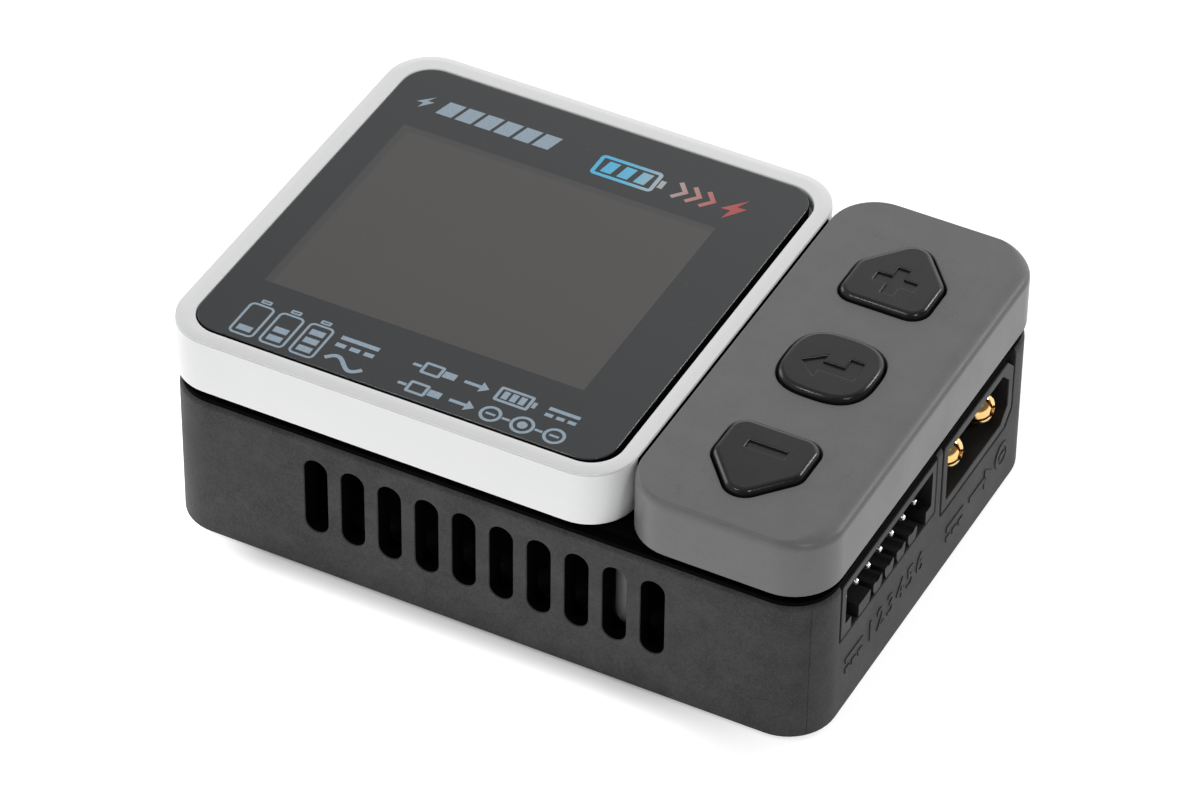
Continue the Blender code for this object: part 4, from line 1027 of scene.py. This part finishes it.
def bullet(name, node, side):
    """A gold bullet: a belled tip in four petals round a hollow, a collar and a solder tail."""
    pin = span(node)
    radius = (pin.y1 - pin.y0) / 2
    y, z = pin.y, pin.z0 + radius
    tip, end = (pin.x1, pin.x0) if side > 0 else (pin.x0, pin.x1)
    tip += side * 0.25
    rings = [(circle(y, z, size * radius / BULLET_RADIUS), tip - side * depth)
             for depth, size in (*BULLET_PROFILE, (abs(end - tip), BULLET_RADIUS))]
    made = loft(name, rings, axis="X")
    cut(made, loft(name + "_hollow", [(circle(y, z, size, 24), tip - side * depth)
                                      for depth, size in BULLET_HOLLOW], axis="X"))
    half, reach, deep = 0.17, radius + 1, 5.6
    for across, up in ((half, reach), (reach, half)):
        slit = spun(rectangle(y - across, z - up, y + across, z + up), y, z, 12)
        cut(made, loft(name + "_slit", slab(slit, tip + side, tip - side * deep), axis="X"))
    join(made, loft(name + "_tail", soft_slab(circle(end + side * 0.8, y, 0.7, 24), z, pin.z1, 0.1, 0.1)))
    seat(made, "gold", node)


# Balance socket

def balance_body():
    """The seven-way shrouded header, whose lower wall is a comb of round-bottomed lobes."""
    box = span("balance_shell")
    outer = box.end(0, 0.15)
    rings = [(outer, box.x0)] + rounding(lambda grow: grown(outer, grow), box.x1, 0.1)
    shell = loft("balance_body", rings, axis="X")
    cavity = rounded_rect(box.y0 + 0.85, BALANCE_FLOOR, box.y1 - 0.85, box.z1 - 0.8, 0.2, 4)
    cut(shell, loft("balance_cavity", slab(cavity, box.x0 + 1.6, box.x1 + 1), axis="X"))
    low, high, knee, wide, narrow = box.z0 - 1, BALANCE_FLOOR + 0.4, box.z0 + 0.75, 0.66, 0.3
    first_gap, last_gap_end, lobe_radius = (7.62, 9.25), 23.72, 0.75
    pin_y = [span("balance_pin_1").y + BALANCE_PITCH * index for index in range(7)]
    outlines = [rectangle(first_gap[0], low, first_gap[1], high)]
    for y in (at + BALANCE_PITCH / 2 for at in pin_y[1:6]):
        left = [(y - narrow, high), (y - narrow, knee), (y - wide, box.z0), (y - wide, low)]
        right = [(y + wide, low), (y + wide, box.z0), (y + narrow, knee), (y + narrow, high)]
        last = y > pin_y[5]
        outlines.append(left + ([(last_gap_end, low), (last_gap_end, high)] if last else right))
    cut(shell, loft("balance_gaps", *[slab(outline, box.x1 - 6.0, box.x1 + 1) for outline in outlines],
                    axis="X"))
    lobes = [circle(y, BALANCE_FLOOR + 0.55, lobe_radius, 32) for y in pin_y[2:6]]
    cut(shell, loft("balance_hollows", *[slab(lobe, box.x1 - 5.0, box.x1 + 1) for lobe in lobes],
                    axis="X"))
    seat(shell, "socket_black", "balance_shell")


def balance_contacts():
    """Seven square pins with pointed tips, bent up into the board."""
    for index in range(1, 8):
        pin = span("balance_pin_%d" % index)
        half = (pin.y1 - pin.y0) / 2
        y, z = pin.y, pin.z0 + half
        rings = []
        for share, at in ((1, pin.x0), (1, pin.x1 - 0.5), (0.7, pin.x1 - 0.12), (0.45, pin.x1)):
            size = half * share
            rings.append((rounded_rect(y - size, z - size, y + size, z + size, size * 0.22, 3), at))
        contact = loft("balance_contact_%d" % index, rings, axis="X")
        tail = rounded_rect(pin.x0, y - half, pin.x0 + 0.7, y + half, 0.14, 3)
        join(contact, loft("contact_tail", slab(tail, z, pin.z1)))
        seat(contact, "tin", "balance_pin_%d" % index)


# Small socket on the left end

def usb_socket():
    """The drawn-steel shell of the small socket, and its tongue with contact strips."""
    box, tongue, wall, lip = span("usb_c_shell"), span("usb_c_tongue"), 0.35, 0.12
    radius = (box.z1 - box.z0) / 2 - 0.05

    def skin(grow):
        return box.end(-grow, radius + grow, 10)
    rings = [(skin(0), box.x1)] + rounding(skin, box.x0, lip, -1)
    rings += rounding(lambda grow: skin(-wall - grow), box.x0, lip, -1)[::-1]
    seat(loft("usb_c_body", rings + [(skin(-wall), box.x1 - 0.6)], axis="X"), "tin", "usb_c_shell")
    blade = tongue.end(0, 0.2)
    rings = [(blade, tongue.x1), (blade, tongue.x0 + 0.25), (grown(blade, -0.12), tongue.x0)]
    seat(loft("usb_c_blade", rings, axis="X"), "socket_black", "usb_c_tongue")
    strips = []
    for y in (tongue.y0 + 0.55 + index * 0.5 for index in range(12)):
        for low, high in ((tongue.z0 - 0.03, tongue.z0 + 0.1), (tongue.z1 - 0.1, tongue.z1 + 0.03)):
            strips.append(rectangle(y - 0.12, low, y + 0.12, high))
    contacts = fill(bmesh.new(), strips, [], tongue.x0 + 0.45, tongue.x1 - 0.3, "X")
    seat(make("usb_c_contacts", contacts), "gold")


# Round parts

def feet():
    """Silicone pads with a shallow dish in the middle."""
    for name in CORNERS:
        box = span("foot_" + name)
        pad, dish_low = disc_at(box.x, box.y, box.radius), box.z0 + 0.14
        rings = [(circle(box.x, box.y, 0.3), dish_low), (pad(-1.45), dish_low), (pad(-1.1), box.z0)]
        rings += rounding(pad, box.z0, 0.28, -1)[::-1] + [(pad(0), box.z1)]
        seat(loft("foot_pad_" + name, rings), "silicone", "foot_" + name)


def bolts(prefix, names, head_radius, shank_radius, head_height):
    """Pan-head screws with a hexagon socket and a threaded shank, driven from below."""
    pitch = 0.4
    for node in (prefix + name for name in names):
        box = span(node)
        x, y, top = box.x, box.y, box.z0 + head_height
        rings = [(circle(x, y, 0.3), box.z0)]
        rings += rounding(disc_at(x, y, head_radius), box.z0, 0.35, -1, 5)[::-1]
        rings.append((circle(x, y, head_radius), top))
        for turn in range(int((box.z1 - top - 0.6) / pitch)):
            low = top + 0.02 + turn * pitch
            rings += [(circle(x, y, shank_radius * 0.82), low),
                      (circle(x, y, shank_radius), low + pitch / 2)]
        rings += [(circle(x, y, shank_radius * 0.8), box.z1 - pitch),
                  (circle(x, y, shank_radius * 0.4), box.z1)]
        screw = loft(node.replace("screw", "bolt"), rings)
        cut(screw, loft("hexagon", slab(circle(x, y, head_radius * 0.52, 6), box.z0 - 1,
                                        box.z0 + head_height * 0.6)))
        seat(screw, "screw_steel", node)


def can(name, node, slot, rim, groove=0.0):
    """A drawn can or a round housing that hangs from the board, with a rounded lower rim."""
    box = span(node)
    side = disc_at(box.x, box.y, box.radius)
    rings = [(circle(box.x, box.y, box.radius * 0.25), box.z0)]
    rings += rounding(side, box.z0, rim, -1, 5)[::-1]
    if groove:
        rings += [(side(-inset), box.z1 - fall)
                  for fall, inset in ((1.3, 0), (1.15, groove), (0.95, groove), (0.8, 0))]
    seat(loft(name, rings + [(side(0), box.z1)]), slot, node)


def inner_parts():
    """The capacitors' cans, the coils' cores and the buzzer."""
    for index in "123":
        can("capacitor_can_" + index, "capacitor_" + index, "aluminium", 0.35, 0.3)
    can("buzzer_can", "buzzer", "case_black", 0.5)
    for side in ("left", "right"):
        box = span("coil_" + side)
        rings = soft_slab(box.plan(0, 1.2, 6), box.z0, box.z1, 0.4, 0.1)
        seat(loft("coil_core_" + side, rings), "ferrite", "coil_" + side)


# Fan

def fan_body():
    """The blower's housing: a soft-cornered box with a round inlet, ports below and an outlet."""
    box = span("fan_housing")
    plate, port_reach = 0.8, 7.0
    x, y, low, high = box.x, box.y, box.z0 + plate, box.z1 - plate
    centre = y - 0.6
    housing = loft("blower_housing", soft_slab(box.plan(0, 2.0, 8), box.z0, box.z1, 0.25, 0.25))
    cut(housing, loft("chamber", slab(circle(x, centre, 12.6, 96), low, high)))
    outlet = rectangle(x - 11.5, y, x + 11.5, box.y1 + 1)
    cut(housing, loft("outlet", slab(outlet, low + 0.01, high - 0.01)))
    cut(housing, loft("inlet", lipped(disc_at(x, centre, 9.5), box.z1, high - 1, 0.3)))
    ports = [disc_at(x + port_reach * math.cos(angle), centre + port_reach * math.sin(angle), 2.4)
             for angle in (math.pi / 2 * turn for turn in range(4))]
    cut(housing, loft("ports", *[lipped(port, box.z0, low + 1, 0.2) for port in ports]))
    seat(housing, "case_black", "fan_housing")


def fan_wheel():
    """The blower's wheel: a domed hub, a back plate and eleven swept blades."""
    box, hub, blades, root = span("fan_rotor"), 5.0, 11, 0.3
    x, y, radius = box.x, box.y, min(11.4, box.radius)
    wheel = loft("blower_wheel", soft_slab(circle(x, y, hub, 64), box.z0, box.z1, 0.3, 0.8, 6))
    swept = []
    for blade in range(blades):
        leading, trailing = [], []
        for part in (step / 8 for step in range(9)):
            reach = hub - root + (radius - hub + root) * part
            angle = 2 * math.pi * blade / blades + math.radians(4 + 14 * part ** 1.5)
            thick = math.radians(3.2 - 1.4 * part)
            leading.append((x + reach * math.cos(angle), y + reach * math.sin(angle)))
            trailing.append((x + reach * math.cos(angle + thick), y + reach * math.sin(angle + thick)))
        swept.append(slab(leading + trailing[::-1], box.z0 + 0.35, box.z1 - 0.1))
    join(wheel, loft("blades", *swept))
    join(wheel, loft("back_plate", slab(circle(x, y, hub + 2.6, 64), box.z0 + 0.05, box.z0 + 0.55)))
    seat(wheel, "socket_black", "fan_rotor", body="fan_wheel")


def dress_cad_nodes():
    """Gives every CAD node that stays in view the look of its material slot."""
    slots = {part["node"]: part["material_slot"] for part in frame["record"]["subparts"]}
    for name, node in frame["nodes"].items():
        node.data.materials.clear()
        node.data.materials.append(LOOKS[slots[name]].material)


# Studio.  Azimuth 0 is the front and 90 the right; the camera and the lights face CAMERA_AIM.

CAMERA_AIM = (35.19, 22.47, 11.95)
CAMERA_DISTANCE = 556.6
CAMERA_AZIMUTH = 27.08
CAMERA_ELEVATION = 40.48
CAMERA_ROLL = 0.74
CAMERA_LENS = 175.57
SOFTBOX_DISTANCE = 0.9
# (azimuth, elevation, size, power)
SOFTBOXES = {"left_softbox": (-100, 15, 0.4, 1.3), "rear_right_softbox": (141, 30, 0.18, 1.6),
             "right_softbox": (60, 46, 0.12, 1.2), "front_left_softbox": (-33, 51, 0.12, 1.1)}
ROOM_LIGHT = 0.565
CAMERA_SIDE_LIGHT = 0.16
DARK_SIDE_AZIMUTH = 68
REAR_CARD_LIGHT = 1.60
TABLE_REACH = 3.0
TABLE_GLOW = 0.73
# The table's painted pool of light round the charger, and its painted contact shadow.
TABLE_PAINTED_POOL = 0.54
TABLE_PAINTED_SHADOW = 0.78


def stand(data, azimuth, elevation, distance, roll=0.0):
    """Puts a camera or a light in its place, facing the charger."""
    azimuth, elevation = math.radians(azimuth), math.radians(elevation)
    back = Vector((math.sin(azimuth) * math.cos(elevation), -math.cos(azimuth) * math.cos(elevation),
                   math.sin(elevation)))
    holder = bpy.data.objects.new(data.name, data)
    holder.location = place(*CAMERA_AIM) + back * distance
    holder.rotation_mode = "QUATERNION"
    holder.rotation_quaternion = (-back).to_track_quat("-Z", "Y") @ Quaternion((0, 0, 1), math.radians(roll))
    bpy.context.scene.collection.objects.link(holder)
    return holder


def camera_and_lights():
    """A long lens from the front right, and four small softboxes."""
    data = bpy.data.cameras.new("camera")
    data.lens = CAMERA_LENS
    data.clip_start, data.clip_end = 0.01, 20
    bpy.context.scene.camera = stand(data, CAMERA_AZIMUTH, CAMERA_ELEVATION, CAMERA_DISTANCE * MM,
                                     CAMERA_ROLL)
    for name, (azimuth, elevation, size, power) in SOFTBOXES.items():
        data = bpy.data.lights.new(name, "AREA")
        data.shape, data.size, data.energy = "SQUARE", size, power
        stand(data, azimuth, elevation, SOFTBOX_DISTANCE)


def room():
    """A pale tent, darker on the photographer's side, with a white card behind the charger."""
    world = bpy.data.worlds.new("studio")
    world.use_nodes = True
    nodes = Nodes(world.node_tree)
    direction = nodes.add("TexCoord", {})["Generated"]

    def fade(towards, start, end, low, high):
        """A smooth step of light, by how nearly a direction of the room points towards an axis."""
        dot = nodes.add("VectorMath", {0: direction, 1: towards}, operation="DOT_PRODUCT")["Value"]
        return nodes.step(dot, start, end, low, high)
    azimuth = math.radians(DARK_SIDE_AZIMUTH)
    dark_side = (math.sin(azimuth), -math.cos(azimuth), 0)
    light = nodes.math("ADD", fade(dark_side, -0.1, 0.5, ROOM_LIGHT, CAMERA_SIDE_LIGHT),
                       fade((0, 1, 0), 0.62, 0.86, 0, REAR_CARD_LIGHT - ROOM_LIGHT))
    background = world.node_tree.nodes["Background"].inputs
    nodes.feed(background["Strength"], light)
    nodes.feed(background["Color"], (1, 1, 1, 1))
    bpy.context.scene.world = world
    bpy.context.scene.view_settings.view_transform = "Standard"


def light_table():
    """A light table.  Its glow rises round the charger into a painted pool of light, less towards the camera,
    and a soft mask paints the contact shadow under the charger and a few millimetres in front of it."""
    shape = bmesh.new()
    bmesh.ops.create_grid(shape, x_segments=8, y_segments=8, size=TABLE_REACH)
    floor = make("table_top", shape)
    look = Look("table_acrylic", (0.6, 0.6, 0.6), 0.6, specular=0.2)
    look.set("Base Color", look.blend(look.noise(2.0, 3.0, 0.6), (0.59, 0.59, 0.59), (0.61, 0.61, 0.61)))
    x, y, _ = look.axes()
    half = place(LENGTH, DEPTH, 0)
    beside, before = (
        look.math("MAXIMUM", look.math("SUBTRACT", look.math("ABSOLUTE", value, 0), reach), 0)
        for value, reach in ((x, half.x), (y, half.y)))
    # Painted pool of light: the glow rises within 50 mm of the charger, left of the camera's line past the
    # front right corner.
    painted_pool = look.step(look.math("ADD", beside, before), 4 * MM, 50 * MM, 1, 0)
    azimuth, corner = math.radians(CAMERA_AZIMUTH), place(LENGTH - TUB_RADIUS, TUB_RADIUS, 0)
    across = look.math("ADD", look.math("MULTIPLY", look.math("SUBTRACT", x, corner.x), math.cos(azimuth)),
                       look.math("MULTIPLY", look.math("SUBTRACT", y, corner.y), math.sin(azimuth)))
    wedge = look.step(across, -5 * MM, -20 * MM)
    glow = look.math("ADD", look.math("MULTIPLY", painted_pool, wedge, TABLE_PAINTED_POOL), TABLE_GLOW)
    # Painted contact shadow: the mask dims the glow under the charger and fades out 4.6 mm in front of it.
    left, right = place(0, -4.6, 0), place(68, 0.6, 0)
    mask = look.math("MULTIPLY", look.plateau(x, left.x, left.x + 12 * MM, right.x - 20 * MM, right.x),
                     look.plateau(y, left.y, right.y, half.y - 2 * MM, half.y + 2 * MM), TABLE_PAINTED_SHADOW)
    look.set("Emission Color", (1, 1, 1, 1))
    look.set("Emission Strength", look.math("MULTIPLY", glow, look.math("SUBTRACT", 1, mask)))
    floor.data.materials.append(look.material)


def main():
    camera_and_lights()
    room()
    light_table()
    dress_cad_nodes()
    for build in (case_tub, case_marks, deck_frame, bezel_frame, keypad_shell, keycaps, lens_sheet, prints):
        build()
    two_pole_socket("output_socket", 1)
    two_pole_socket("input_socket", -1)
    balance_body()
    balance_contacts()
    usb_socket()
    feet()
    bolts("case_screw_", CORNERS, 1.7, 0.95, 1.3)
    bolts("cover_screw_", ("bezel_front", "bezel_rear", "keypad_front", "keypad_rear"), 1.4, 0.7, 0.55)
    fan_body()
    fan_wheel()
    inner_parts()


main()
